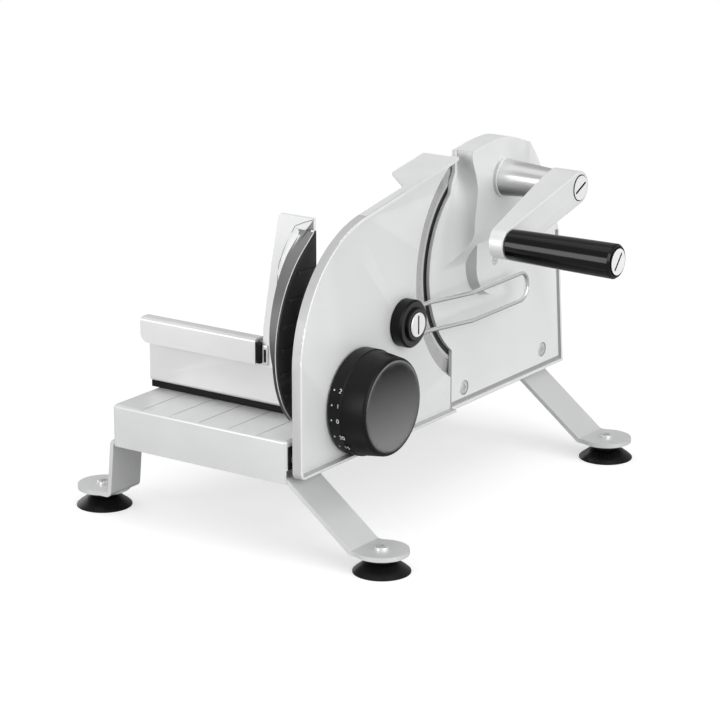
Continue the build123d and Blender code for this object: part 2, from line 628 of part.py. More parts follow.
with BuildPart() as crank_gear:
    with BuildSketch(at_x(GEAR_X[0])):
        tooth_ring(CRANK_Y, CRANK_Z, TEETH_CRANK, PHASE_CRANK)
    extrude(amount=GEAR_X[1] - GEAR_X[0])
    with BuildSketch(at_x(GEAR_X[0])):
        with Locations((CRANK_Y, CRANK_Z)):
            with PolarLocations(14, 6, start_angle=15):
                Circle(3.6)
    extrude(amount=GEAR_X[1] - GEAR_X[0], mode=Mode.SUBTRACT)
    rod_x(CRANK_Y, CRANK_Z, GEAR_X[1], 24.2, 8.5)
    rod_x(CRANK_Y, CRANK_Z, GEAR_X[0], 24.2, SHAFT_R, Mode.SUBTRACT)
save(crank_gear, "crank_gear")

with BuildPart() as shaft:
    turned(CRANK_Y, CRANK_Z, [(GEAR_X[0], 0), (GEAR_X[0], SHAFT_R), (87.4, SHAFT_R), (87.4, 2.5), (77, 2.5), (77, 0)])
save(shaft, "crank_shaft")

GRIP_Y, GRIP_Z = CRANK_Y + CRANK_THROW_Y, CRANK_Z + CRANK_THROW_Z
THROW = hypot(CRANK_THROW_Y, CRANK_THROW_Z)
with BuildPart() as arm:
    with BuildSketch(at_x(70.5)):
        hull_face(CRANK_Y, CRANK_Z, 11.2, GRIP_Y, GRIP_Z, 10.3)
    extrude(amount=ARM_X - 70.5)
    # the back is relieved so the arm thins towards the grip
    u = (0, CRANK_THROW_Y / THROW, CRANK_THROW_Z / THROW)
    side = Plane(origin=(0, CRANK_Y, CRANK_Z), x_dir=u, z_dir=(0, u[2], -u[1]))
    with BuildSketch(side):
        with BuildLine():
            Polyline((12.5, 60), (12.5, 70.5), (THROW + 14, 81.5), (THROW + 14, 60), close=True)
        make_face()
    extrude(amount=16, both=True, mode=Mode.SUBTRACT)
    fillet(arm.faces().sort_by(Axis.X)[-1].edges(), 1.1)
    rod_x(CRANK_Y, CRANK_Z, 70, 88, SHAFT_R, Mode.SUBTRACT)
    rod_x(CRANK_Y, CRANK_Z, 87.4, 93, 9.1, Mode.SUBTRACT)
    rod_x(GRIP_Y, GRIP_Z, 70, 93, AXLE_R, Mode.SUBTRACT)
save(arm, "crank_arm")

with BuildPart() as crank_screw:
    turned(CRANK_Y, CRANK_Z, [(77, 0), (77, 2.5), (87.4, 2.5), (87.4, 8.9), (91.4, 8.9), (91.9, 8.4), (91.9, 0)])
    with BuildSketch(at_x(91.9)):
        with Locations(Location((CRANK_Y, CRANK_Z, 0), (0, 0, 25))):
            SlotOverall(14, 1.6)
    extrude(amount=-1.6, mode=Mode.SUBTRACT)
save(crank_screw, "crank_screw")

with BuildPart() as grip_bolt:
    turned(GRIP_Y, GRIP_Z, [(81.6, 0), (81.6, AXLE_R), (168.2, AXLE_R), (168.2, 9.0), (171.6, 9.0), (GRIP_END_X, 8.6), (GRIP_END_X, 0)])
    with BuildSketch(at_x(GRIP_END_X)):
        with Locations(Location((GRIP_Y, GRIP_Z, 0), (0, 0, 50))):
            SlotOverall(13.5, 1.6)
    extrude(amount=-1.6, mode=Mode.SUBTRACT)
save(grip_bolt, "grip_bolt")

with BuildPart() as grip:
    turned(GRIP_Y, GRIP_Z, [(91.9, AXLE_R + RUN), (91.9, 9.3), (92.9, 10.3), (100, 10.5), (135, 11.1), (160, 11.4), (169.8, 11.5),
                            (171.2, 10.4), (171.2, 9.3), (168.0, 9.3), (168.0, AXLE_R + RUN)])
save(grip, "grip")

# ---------------------------------------------------------------- stop plate
SLOPE = radians(PLATE_SLOPE)
PLATE_END = PLATE_REAR + 2        # the top edge reaches a little past the lower rear edge
ROOF_FRONT = -46.0
RECESS_TOP = BLADE_Z + sqrt(PLATE_ARC_R ** 2 - (BLADE_Y - PLATE_END) ** 2)
RECESS_LOW = BLADE_Z - sqrt(PLATE_ARC_R ** 2 - (BLADE_Y - PLATE_REAR) ** 2)
TOP_END = (PLATE_END, RECESS_TOP + PLATE_LIP)
FRONT_ARC_Y = PLATE_FRONT + PLATE_FRONT_R
TOP_TAN_Y = FRONT_ARC_Y - PLATE_FRONT_R * sin(SLOPE)
TOP_TAN = (TOP_TAN_Y, TOP_END[1] - (PLATE_END - TOP_TAN_Y) * tan(SLOPE))
FRONT_ARC_Z = TOP_TAN[1] - PLATE_FRONT_R * cos(SLOPE)


def plate_outline():
    """Outline of the stop plate, in the open sketch."""
    mid = (FRONT_ARC_Y - PLATE_FRONT_R * cos(radians(40)), FRONT_ARC_Z + PLATE_FRONT_R * sin(radians(40)))
    with BuildLine() as edge:
        Polyline((PLATE_REAR, RECESS_LOW), (PLATE_REAR, PLATE_BOTTOM), (PLATE_FRONT, PLATE_BOTTOM),
                 (PLATE_FRONT, FRONT_ARC_Z))
        ThreePointArc((PLATE_FRONT, FRONT_ARC_Z), mid, TOP_TAN)
        Polyline(TOP_TAN, TOP_END, (TOP_END[0], RECESS_TOP))
        ThreePointArc((TOP_END[0], RECESS_TOP), (BLADE_Y - PLATE_ARC_R, BLADE_Z), (PLATE_REAR, RECESS_LOW))
    make_face(edge.edges())


def top_z(y):
    """Height of the plate's sloping top edge."""
    return TOP_TAN[1] + (y - TOP_TAN[0]) * tan(SLOPE)


with BuildPart() as plate:
    with BuildSketch(at_x(PLATE_X)):
        plate_outline()
    extrude(amount=RIM_X - PLATE_X)
    corner = plate.edges().filter_by(Axis.X).group_by(Axis.Y)[0].sort_by(Axis.Z)[0]
    fillet(corner, 5)
    front_face = plate.faces().sort_by(Axis.X)[-1]
    fillet(front_face.edges().filter_by(lambda e: e.length > 7 and e.center().Y < -30), 1.0)
    # pressed tray: the rim stays along the bottom, the curved front and the top
    with BuildSketch(at_x(PLATE_X + PLATE_T)):
        plate_outline()
        offset(amount=-RIM_T, mode=Mode.REPLACE)
        with Locations((BLADE_Y, BLADE_Z)):
            Circle(PLATE_ARC_R + 3)
        with Locations((PLATE_REAR, (PLATE_BOTTOM + RIM_T + RECESS_LOW + 5) / 2)):
            Rectangle(8, RECESS_LOW + 5 - PLATE_BOTTOM - RIM_T)
        # the dial stands in the tray, so the lower rim is thinned under it
        with Locations((DIAL_Y, DIAL_Z)):
            Circle(DIAL_R + GAP)
    extrude(amount=RIM_X - PLATE_X, mode=Mode.SUBTRACT)
    # roof over the blade, folded towards the loaf, with one cut-off corner
    with BuildSketch(at_x(RIM_X)):
        with BuildLine():
            Polyline((ROOF_FRONT, top_z(ROOF_FRONT)), (PLATE_REAR, top_z(PLATE_REAR)),
                     (PLATE_REAR, top_z(PLATE_REAR) - PLATE_T), (ROOF_FRONT, top_z(ROOF_FRONT) - PLATE_T), close=True)
        make_face()
    extrude(amount=-(RIM_X + 4.5))
    with BuildSketch(Plane.XY.offset(200)):
        with BuildLine():
            Polyline((PLATE_X, -38), (PLATE_X, -60), (-10, -60), (-10, -16), (-4.5, -20), close=True)
        make_face()
    extrude(amount=50, mode=Mode.SUBTRACT)
    # window over the cam post and the two pivot holes
    rod_x(DIAL_Y, POST_Z, PLATE_X, PLATE_X + PLATE_T, POST_R + 1.5, Mode.SUBTRACT)
    rod_x(DIAL_Y, DIAL_Z, PLATE_X, PLATE_X + PLATE_T, SPIGOT_R, Mode.SUBTRACT)
    rod_x(BOW_Y, BOW_Z, PLATE_X, PLATE_X + PLATE_T, AXLE_R, Mode.SUBTRACT)
save(plate, "stop_plate")

with BuildPart() as rods:
    for ry in ROD_YS:
        rod_x(ry, ROD_Z, PLATE_X - 70, PLATE_X, ROD_R)
    chamfer(rods.edges().group_by(Axis.X)[0], 0.8)
save(rods, "plate_rods")

with BuildPart() as guides:
    for ry in ROD_YS:
        # block through the table's side with a thin flange against its outside
        with BuildSketch(at_x(TABLE_X[1] - GUIDE_LEN)):
            with Locations((ry, ROD_Z + GUIDE_RISE)):
                Rectangle(2 * GUIDE_HALF, GUIDE_H)
        extrude(amount=GUIDE_LEN)
        with BuildSketch(at_x(TABLE_X[1])):
            with Locations((ry, ROD_Z + GUIDE_RISE)):
                Rectangle(2 * GUIDE_HALF + 1.4, GUIDE_H + 1.4)
        extrude(amount=GUIDE_FLANGE)
        rod_x(ry, ROD_Z, TABLE_X[1] - GUIDE_LEN, TABLE_X[1] + GUIDE_FLANGE, ROD_R + RUN, Mode.SUBTRACT)
save(guides, "rod_guides")

# ---------------------------------------------------------------- thickness dial
with BuildPart() as post:
    rod_x(DIAL_Y, POST_Z, TABLE_X[1] - SHEET - 3, TABLE_X[1] - SHEET, 9)
    rod_x(DIAL_Y, POST_Z, TABLE_X[1] - SHEET, PIN_X + 1.7, POST_R)
    with BuildSketch(Plane.XY.offset(POST_Z)):
        with Locations((PIN_X, DIAL_Y)):
            Circle(PIN_R)
    extrude(amount=DIAL_Z - TRACK_DEEP - POST_Z)
save(post, "cam_post")

with BuildPart() as spigot:
    turned(DIAL_Y, DIAL_Z, [(PLATE_X, 0), (PLATE_X, SPIGOT_R), (37.4, SPIGOT_R), (37.4, 5.2), (40.2, 5.2), (40.2, SPIGOT_R - 0.2),
                            (42.2, 5.4), (42.2, 0)])
save(spigot, "dial_spigot")

# spiral track for the cam pin: its length sets the thickness limits
TRACK_END = DIAL_RANGE[1] + TRACK_SPARE
TRACK_TURN = TRACK_END - DIAL_RANGE[0] + TRACK_SPARE
track = Helix(pitch=DIAL_LEAD, height=DIAL_LEAD * TRACK_TURN / 360, radius=DRUM_R - 0.4)
with BuildPart() as track_cut:
    with BuildSketch(Plane(origin=track @ 0, z_dir=track % 0)):
        Circle(PIN_R + 0.2)
    sweep(path=track, is_frenet=True)

with BuildPart() as dial:
    # half section: hub over the cam track, skirt open to the rear, rounded edge and hollow face
    land_r = DIAL_R - FACE_ROUND - 2.6
    turns = [(FACE_ROUND * (sin(t) - 1), FACE_ROUND * cos(t)) for t in (SKIRT_LEAN, SKIRT_LEAN / 2 + pi / 4)]
    bend = [(DIAL_FRONT + dx, land_r + dr) for dx, dr in turns]
    with BuildSketch(Plane(origin=(0, DIAL_Y, DIAL_Z), x_dir=(1, 0, 0), z_dir=(0, -1, 0))) as half:
        with BuildLine():
            Polyline((DIAL_FRONT - DISH, 0), (42.6, 0), (42.6, SPIGOT_R + RUN), (39.8, SPIGOT_R + RUN), (39.4, 5.4),
                     (38.2, 5.4), (37.8, SPIGOT_R + RUN), (20.2, SPIGOT_R + RUN), (20.2, DRUM_R), (44.3, DRUM_R),
                     (44.3, DIAL_R - DIAL_WALL), (30, DIAL_R - DIAL_WALL + 2), (20.2, DIAL_R - 3),
                     (20.2, DIAL_R - 0.6), (20.8, DIAL_R), (29.5, DIAL_R), (30.3, DIAL_R - 0.7), bend[0])
            ThreePointArc(bend[0], bend[1], (DIAL_FRONT, land_r))
            Polyline((DIAL_FRONT, land_r), (DIAL_FRONT, land_r - 1))
            ThreePointArc((DIAL_FRONT, land_r - 1), (DIAL_FRONT - 0.74 * DISH, land_r / 2), (DIAL_FRONT - DISH, 2))
            Line((DIAL_FRONT - DISH, 2), (DIAL_FRONT - DISH, 0))
        make_face()
    revolve(axis=Axis((0, DIAL_Y, DIAL_Z), (1, 0, 0)))
    start = radians(TRACK_END * -1 - 90)
    seat = Plane(origin=(PIN_X - DIAL_LEAD * TRACK_END / 360, DIAL_Y, DIAL_Z), x_dir=(0, cos(start), sin(start)), z_dir=(1, 0, 0))
    add(track_cut.part.moved(Location(seat)), mode=Mode.SUBTRACT)
save(dial, "thickness_dial")

# ---------------------------------------------------------------- slice bow
with BuildPart() as bow_spigot:
    turned(BOW_Y, BOW_Z, [(PLATE_X, 0), (PLATE_X, AXLE_R), (28.4, AXLE_R), (28.4, 2.0), (22.0, 2.0), (22.0, 0)])
save(bow_spigot, "bow_spigot")

with BuildPart() as bow_screw:
    turned(BOW_Y, BOW_Z, [(22.0, 0), (22.0, 2.0), (28.4, 2.0), (28.4, 8.3), (30.8, 8.3), (31.2, 7.9), (31.2, 0)])
    with BuildSketch(at_x(31.2)):
        with Locations(Location((BOW_Y, BOW_Z, 0), (0, 0, 90))):
            SlotOverall(13.0, 1.5)
    extrude(amount=-1.5, mode=Mode.SUBTRACT)
save(bow_screw, "bow_screw")

BOW_PATH = [(25.0, -37.0), (25.0, -20.0), (35.5, 19.0), (34.5, 91.5)]
with BuildPart() as bow:
    with BuildLine() as bow_line:
        FilletPolyline(*[(x, y, BOW_Z + BOW_HALF) for x, y in BOW_PATH],
                       *[(x, y, BOW_Z - BOW_HALF) for x, y in reversed(BOW_PATH)], radius=9.2)
    with BuildSketch(Plane(origin=bow_line.wires()[0] @ 0, z_dir=bow_line.wires()[0] % 0)):
        Circle(BOW_ROD_R)
    sweep(path=bow_line.wires()[0])
save(bow, "slice_bow")

with BuildPart() as bow_knob:
    turned(BOW_Y, BOW_Z, [(19.3, AXLE_R + RUN), (19.3, BOW_KNOB_R), (26.4, BOW_KNOB_R), (27.7, BOW_KNOB_R - 1.3),
                          (27.7, 11.6), (30.0, 11.2), (30.4, 10.6), (30.4, 8.6), (28.2, 8.6), (28.2, AXLE_R + RUN)])
    add(bow.part, mode=Mode.SUBTRACT)
save(bow_knob, "bow_knob")

# ---------------------------------------------------------------- carriage
GUARD_SCREWS = ((-24.0, 120.0), (-6.0, 120.0))
with BuildPart() as tray:
    # floor, wall and folded-over hand flange, drawn in side view as one bent sheet
    half_t = FLOOR_T / 2
    with BuildSketch(at_x(WALL_X[0])):
        with BuildLine():
            FilletPolyline((FLANGE_Y + half_t, 113.8), (FLANGE_Y + half_t, WALL_TOP - half_t),
                           (WALL_Y + half_t, WALL_TOP - half_t), (WALL_Y + half_t, WALL_BOTTOM + half_t),
                           (WALL_Y + FLOOR_LEN, WALL_BOTTOM + half_t), radius=1.8)
        trace(line_width=FLOOR_T)
    extrude(amount=SIDE_LIP_X[1] - WALL_X[0])
    corner = tray.edges().filter_by(Axis.Y).sort_by(lambda e: abs(e.center().X - WALL_X[0]) + abs(e.center().Z - 113.8))[0]
    fillet(corner, 6)
    # the flange stops short of the guard and the wall stops short of the blade
    with BuildSketch(Plane.XY.offset(110)):
        with Locations(((FLANGE_END + 40) / 2, WALL_Y - 6)):
            Rectangle(40 - FLANGE_END, 12)
    extrude(amount=40, mode=Mode.SUBTRACT)
    with BuildSketch(at_y(WALL_Y - 1)):
        with Locations(((WALL_X[1] + 40) / 2, 120)):
            Rectangle(40 - WALL_X[1], 62)
    extrude(amount=-5, mode=Mode.SUBTRACT)
    # the floor ends at the outside of the left lip
    with BuildSketch(Plane.XY.offset(WALL_BOTTOM - 1)):
        with Locations((LEFT_LIP_X[0] - 5, WALL_Y + 1.9 + FLOOR_LEN / 2)):
            Rectangle(10, FLOOR_LEN)
    extrude(amount=4, mode=Mode.SUBTRACT)
    # lips that hold the carriage to the table sides
    with BuildSketch(at_y(WALL_Y + 10)):
        for lip, low in ((LEFT_LIP_X, 72), (SIDE_LIP_X, 76)):
            with Locations(((lip[0] + lip[1]) / 2, (low + WALL_BOTTOM + 0.6) / 2)):
                Rectangle(lip[1] - lip[0], WALL_BOTTOM + 0.6 - low)
    extrude(amount=-(FLOOR_LEN - 10))
    # holes for the guard screws
    with BuildSketch(at_y(WALL_Y - 1)):
        with Locations(*GUARD_SCREWS):
            Circle(1.5)
    extrude(amount=-4, mode=Mode.SUBTRACT)
save(tray, "carriage_sheet")

with BuildPart() as runners:
    with BuildSketch(Plane.XY.offset(TABLE_TOP + RUNNER_GAP)):
        with Locations(((WALL_X[0] + 12.6) / 2, WALL_Y + 6)):
            Rectangle(12.6 - WALL_X[0], 9)
        for rx in (-121, 5):
            with Locations((rx, WALL_Y + 60)):
                Rectangle(9, 116)
    extrude(amount=WALL_BOTTOM - TABLE_TOP - RUNNER_GAP)
save(runners, "carriage_runners")

# ---------------------------------------------------------------- thumb guard
GUARD_X = (4.8, 7.0)
GUARD_REAR = -123.0
GUARD_BACK = -125.6
GUARD_TOP = 217.0
RIM_LEFT = [(-2.5, 222), (-2.5, 196), (-0.8, 180), (0.9, 160), (2.1, 146), (3.7, 135), (4.8, 129)]
GUARD_CURVE = [(-126.0, 208.5), (-132.5, 203.2), (-141.5, 195.8), (-151.5, 184.6), (-158.5, 173.5), (-163.6, 162.0),
               (-167.0, 150.0), (-168.4, 138.0), (-167.8, 124.0), (-164.8, 111.0), (-159.6, 99.5), (-151.0, 88.6)]


def inset_curve(points, d):
    """The guard's curved edge moved inwards by d."""
    moved = []
    for k, (y, z) in enumerate(points):
        y0, z0 = points[max(k - 1, 0)]
        y1, z1 = points[min(k + 1, len(points) - 1)]
        size = hypot(y1 - y0, z1 - z0)
        moved.append((y - d * (z1 - z0) / size, z + d * (y1 - y0) / size))
    return moved


def guard_outline(d, rear):
    """D-shaped side panel with its curved edge moved in by d, in the open sketch."""
    pts = inset_curve(GUARD_CURVE, d)
    with BuildLine() as edge:
        Spline(*pts)
        Polyline(pts[-1], (-147, 87 + d), (rear + 2, 87 + d), (rear + 2, 112), (rear, 112), (rear, 211 - 2 * d),
                 (-125.0, 211 - 2 * d), pts[0])
    make_face(edge.edges())


with BuildPart() as guard:
    with BuildSketch(at_x(RIM_LEFT[0][0])):
        guard_outline(0, GUARD_REAR)
    extrude(amount=GUARD_X[1] - RIM_LEFT[0][0])
    # hollow on the hand side, leaving the side panel and the rim along the curve
    with BuildSketch(at_x(RIM_LEFT[0][0])):
        guard_outline(1.8, GUARD_REAR + 1)
        with Locations((GUARD_REAR, 145)):
            Rectangle(6, 200)
        with Locations((-140, 80)):
            Rectangle(60, 30)
    extrude(amount=GUARD_X[0] - RIM_LEFT[0][0], mode=Mode.SUBTRACT)
    # the rim narrows downwards
    with BuildSketch(at_y(-175)):
        with BuildLine():
            Spline(*RIM_LEFT[1:])
            Polyline(RIM_LEFT[-1], (4.8, 80), (-10, 80), (-10, 196), RIM_LEFT[1])
        make_face()
    extrude(amount=-(175 + GUARD_REAR), mode=Mode.SUBTRACT)
    # back sheet that rises behind the hand flange, on two bosses against the wall
    with BuildSketch(at_y(GUARD_REAR)):
        with BuildLine():
            Polyline((-35.0, 112), (-34.0, 139), (-31.0, 158), (-26.5, 186), (-21.2, 215), (-19.5, GUARD_TOP),
                     (GUARD_X[1], GUARD_TOP), (GUARD_X[1], 112), close=True)
        make_face()
    extrude(amount=GUARD_REAR - GUARD_BACK)
    # slanting web from the rim to the back sheet
    with BuildPart(mode=Mode.PRIVATE) as web:
        for z, rim_x, rim_y, back_x in ((209, -0.5, -127.4, -8), (204, -1.5, -132.5, -12), (197, -2, -140.5, -15.2),
                                        (188, -1.4, -148.8, -19), (178, -0.4, -155.9, -21.8)):
            with BuildSketch(Plane.XY.offset(z)):
                with BuildLine():
                    Polyline((back_x, GUARD_BACK + 1.0), (back_x, GUARD_BACK), (rim_x + 0.9, rim_y + 0.3),
                             (rim_x + 2.7, rim_y + 0.6), (back_x + 2.4, GUARD_BACK + 1.0), close=True)
                make_face()
        loft(ruled=True)
    add(web.part)
    with BuildSketch(at_y(WALL_Y)):
        with Locations(*GUARD_SCREWS):
            Circle(4)
    extrude(amount=WALL_Y - GUARD_REAR)
    with BuildSketch(at_y(WALL_Y)):
        with Locations(*GUARD_SCREWS):
            Circle(1.5)
    extrude(amount=4.4, mode=Mode.SUBTRACT)
save(guard, "thumb_guard")

RIB_STARTS = [(-143.5, 185.3), (-154.1, 169.3), (-160.0, 153.4), (-162.2, 138.0), (-162.0, 122.6), (-159.6, 107.4)]
with BuildPart() as insert:
    with BuildSketch(at_x(GUARD_X[1])):
        guard_outline(0.9, GUARD_REAR - 1.5)
    extrude(amount=1.2)
    # moulded ribs, each starting with a dot
    with BuildSketch(at_x(GUARD_X[1] + 1.2)):
        for ry, rz in RIB_STARTS:
            with Locations(((ry - 126.4) / 2, rz)):
                Rectangle(-126.4 - ry, 1.4)
            with Locations((ry, rz)):
                Circle(1.4)
    extrude(amount=0.6)
save(insert, "guard_insert")

with BuildPart() as guard_screws:
    for gx, gz in GUARD_SCREWS:
        with BuildSketch(at_y(WALL_Y + FLOOR_T)):
            with Locations((gx, gz)):
                Circle(3.0)
        extrude(amount=-1.5)
        with BuildSketch(at_y(WALL_Y + FLOOR_T)):
            with Locations((gx, gz)):
                Circle(1.5)
        extrude(amount=5.6)
save(guard_screws, "guard_screws")
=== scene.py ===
"""Looks of a hand-cranked bread slicer: finishes with painted shade and painted reflections, dial
scale, guard latch, floor, light and camera.

Metres, in the part's own frame: +X is the crank and slice side, +Y the way the loaf is pushed, +Z up.
"""

import json
import math

import bmesh
import bpy
import numpy as np
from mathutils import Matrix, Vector

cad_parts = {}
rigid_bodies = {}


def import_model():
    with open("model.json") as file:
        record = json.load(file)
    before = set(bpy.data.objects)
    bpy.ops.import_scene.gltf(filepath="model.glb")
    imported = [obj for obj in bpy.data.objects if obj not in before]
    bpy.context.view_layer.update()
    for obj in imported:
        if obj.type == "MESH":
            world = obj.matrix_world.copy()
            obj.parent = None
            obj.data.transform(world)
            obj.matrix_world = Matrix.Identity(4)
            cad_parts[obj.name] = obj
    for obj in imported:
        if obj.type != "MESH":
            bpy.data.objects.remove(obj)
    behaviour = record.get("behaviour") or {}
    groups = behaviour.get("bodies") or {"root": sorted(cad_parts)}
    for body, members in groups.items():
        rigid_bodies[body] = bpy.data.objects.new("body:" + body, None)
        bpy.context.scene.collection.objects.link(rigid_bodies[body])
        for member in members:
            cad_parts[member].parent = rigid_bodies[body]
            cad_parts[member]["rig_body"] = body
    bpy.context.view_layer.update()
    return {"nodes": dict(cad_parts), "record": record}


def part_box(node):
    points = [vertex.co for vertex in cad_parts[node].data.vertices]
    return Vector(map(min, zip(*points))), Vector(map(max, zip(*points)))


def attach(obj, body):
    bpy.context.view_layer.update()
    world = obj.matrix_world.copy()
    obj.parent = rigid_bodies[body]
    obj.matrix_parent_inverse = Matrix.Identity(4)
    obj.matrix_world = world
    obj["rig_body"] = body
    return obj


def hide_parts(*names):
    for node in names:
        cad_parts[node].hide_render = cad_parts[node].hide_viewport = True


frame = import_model()
nodes = frame["nodes"]
SLOT = {piece["node"]: piece["material_slot"] for piece in frame["record"]["subparts"]}
MM = 0.001


def centre_of(node):
    """Middle of a CAD node's box, in metres."""
    low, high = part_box(node)
    return (low + high) / 2


BLADE_AXIS = centre_of("blade")
CRANK_AXIS = centre_of("crank_shaft")
DIAL_AXIS = centre_of("thickness_dial")


# ---------------------------------------------------------------- shader nodes
def feed(tree, socket, value):
    """Set an input socket to a plain value, or link another socket to it."""
    if isinstance(value, bpy.types.NodeSocket):
        tree.links.new(value, socket)
    else:
        socket.default_value = value


def add_node(tree, kind, inputs=None, **settings):
    """New shader node: settings by name, and inputs by name or number as values or sockets."""
    node = tree.nodes.new("ShaderNode" + kind)
    for label, value in settings.items():
        setattr(node, label, value)
    for label, value in (inputs or {}).items():
        feed(tree, node.inputs[label], value)
    return node


def maths(tree, operation, *values):
    """Output of a Math node whose inputs are sockets or plain numbers."""
    return add_node(tree, "Math", dict(enumerate(values)), operation=operation).outputs[0]


def vector_maths(tree, operation, *values):
    """Outputs of a Vector Math node whose inputs are sockets."""
    return add_node(tree, "VectorMath", dict(enumerate(values)), operation=operation).outputs


def span(tree, value, low, high, to_low=0.0, to_high=1.0):
    """Output of a Map Range node that takes low..high to to_low..to_high, clamped."""
    limits = {"From Min": low, "From Max": high, "To Min": to_low, "To Max": to_high}
    return add_node(tree, "MapRange", {"Value": value, **limits}).outputs["Result"]


def split(tree, vector):
    """Outputs X, Y and Z of a vector."""
    return add_node(tree, "SeparateXYZ", {0: vector}).outputs


def noise(tree, vector, scale, detail, roughness):
    """Noise texture read at a vector."""
    inputs = {"Vector": vector, "Scale": scale, "Detail": detail, "Roughness": roughness}
    return add_node(tree, "TexNoise", inputs).outputs["Fac"]


def mix(tree, share, base, top):
    """Colour mix of two sockets or RGB tuples, from the base at 0 to the top at 1."""
    base, top = (c if isinstance(c, bpy.types.NodeSocket) else (*c, 1) for c in (base, top))
    return add_node(tree, "Mix", {0: share, 6: base, 7: top}, data_type="RGBA").outputs[2]


# ---------------------------------------------------------------- shader groups
RADIAN_LENGTH = 0.003  # length of grain given to one radian round an axis
WORN = (0.52, 0.60)  # pointiness where wear on an edge begins and where it is full
UNDERSIDE = (0.15, -0.85)  # lean along +Z where the painted shade on a face's underside begins and where it is full
FRONT_SIDE = (-0.05, -0.75)  # lean along +Y where the painted shade on faces that look back along the loaf begins and where it is full


def new_group(name, inputs, outputs):
    """Empty shader group, given inputs (name, kind, value) and outputs (name, kind), and its ends."""
    tree = bpy.data.node_groups.new(name, "ShaderNodeTree")
    for label, kind, value in inputs:
        kind = "NodeSocket" + kind
        socket = tree.interface.new_socket(name=label, in_out="INPUT", socket_type=kind)
        socket.default_value = value
    for label, kind in outputs:
        tree.interface.new_socket(name=label, in_out="OUTPUT", socket_type="NodeSocket" + kind)
    given, result = tree.nodes.new("NodeGroupInput"), tree.nodes.new("NodeGroupOutput")
    return tree, given.outputs, result.inputs


def grain_group():
    """Stretched fine noise for brushing or moulding grain, and a slow cloud for handling marks."""
    tree, given, result = new_group(
        "surface_grain",
        [("Position", "Vector", (0, 0, 0)), ("Stretch", "Vector", (1, 1, 1)),
         ("Grain scale", "Float", 900.0), ("Cloud scale", "Float", 14.0)],
        [("Grain", "Float"), ("Cloud", "Float")])
    stretched = vector_maths(tree, "MULTIPLY", given["Position"], given["Stretch"])["Vector"]
    feed(tree, result["Grain"], noise(tree, stretched, given["Grain scale"], 3.0, 0.6))
    slow = noise(tree, given["Position"], given["Cloud scale"], 4.0, 0.55)
    feed(tree, result["Cloud"], span(tree, slow, 0.3, 0.7))
    return tree


def turned_group():
    """Position unrolled round an X-parallel axis, so that grain runs in circles as on turned metal.

    The radius is the root of the summed squares of Y and Z, and the angle is their arc tangent.
    """
    tree, given, result = new_group(
        "turned_position", [("Position", "Vector", (0, 0, 0)), ("Axis", "Vector", (0, 0, 0))],
        [("Unrolled", "Vector")])
    offset = split(tree, vector_maths(tree, "SUBTRACT", given["Position"], given["Axis"])["Vector"])
    squares = [maths(tree, "MULTIPLY", offset[k], offset[k]) for k in ("Y", "Z")]
    radius = maths(tree, "SQRT", maths(tree, "ADD", *squares))
    angle = maths(tree, "ARCTAN2", offset["Z"], offset["Y"])
    around = maths(tree, "MULTIPLY", angle, RADIAN_LENGTH)
    unrolled = add_node(tree, "CombineXYZ", {"X": radius, "Y": around, "Z": offset["X"]})
    feed(tree, result["Unrolled"], unrolled.outputs[0])
    return tree


def wear_and_shade_group():
    """Light on worn edges, painted shade on faces that look down, and how far a face looks back, for
    painted shade.
    """
    tree, given, result = new_group(
        "wear_and_painted_shade",
        [("Cloud", "Float", 0.5), ("Edge", "Float", 0.3), ("Under", "Float", 0.3)],
        [("Light", "Float"), ("Dark", "Float"), ("Front", "Float")])
    geometry = add_node(tree, "NewGeometry").outputs
    edge = span(tree, geometry["Pointiness"], *WORN)
    patchy = maths(tree, "MULTIPLY", edge, span(tree, given["Cloud"], 0.1, 0.9, 0.45, 1.0))
    feed(tree, result["Light"], maths(tree, "MULTIPLY", patchy, given["Edge"]))
    lean = split(tree, geometry["Normal"])
    under = span(tree, lean["Z"], *UNDERSIDE)
    feed(tree, result["Dark"], maths(tree, "MULTIPLY", under, given["Under"]))
    feed(tree, result["Front"], span(tree, lean["Y"], *FRONT_SIDE))
    return tree


def fade_group():
    """Share that rises with height, from none at the lowest to all at the highest."""
    tree, given, result = new_group(
        "height_fade",
        [("Position", "Vector", (0, 0, 0)), ("Lowest", "Float", 0.0), ("Highest", "Float", 1.0)],
        [("Share", "Float")])
    height = split(tree, given["Position"])["Z"]
    feed(tree, result["Share"], span(tree, height, given["Lowest"], given["Highest"]))
    return tree


GRAIN = grain_group()
TURNED = turned_group()
WEAR_AND_SHADE = wear_and_shade_group()
FADE = fade_group()


# ---------------------------------------------------------------- finishes
CLOUD_SCALE = 14.0
BUMP_DEPTH = 0.05 * MM
COAT_ROUGH = 0.06
GRAIN_AND_CLOUD = (0.3, 1.7)  # their sum where a finish is least rough and where it is most rough
FRONT_DARK, UNDER_DARK = 0.3, 0.2  # share of the dark colour left in the painted shade on faces that look back or down
WORN_GAIN, WORN_LIFT = 1.25, 0.04  # what wear makes of the light colour
SLOT_BLEND = 0.3 * MM  # width over which the painted shade of the blade's slot runs out
DISH_LEAN = (-0.09, 0.08)  # lean along +Z of a dished face at its top and at its bottom, where its painted reflection is darkest and lightest
DISH_FACE = (0.95, 0.985)  # lean along +X where the dish's painted reflection begins and where it is full


def grey(value, warm=0.0):
    """Neutral RGB with a slight cool or warm cast."""
    return (value + warm, value, value - warm)


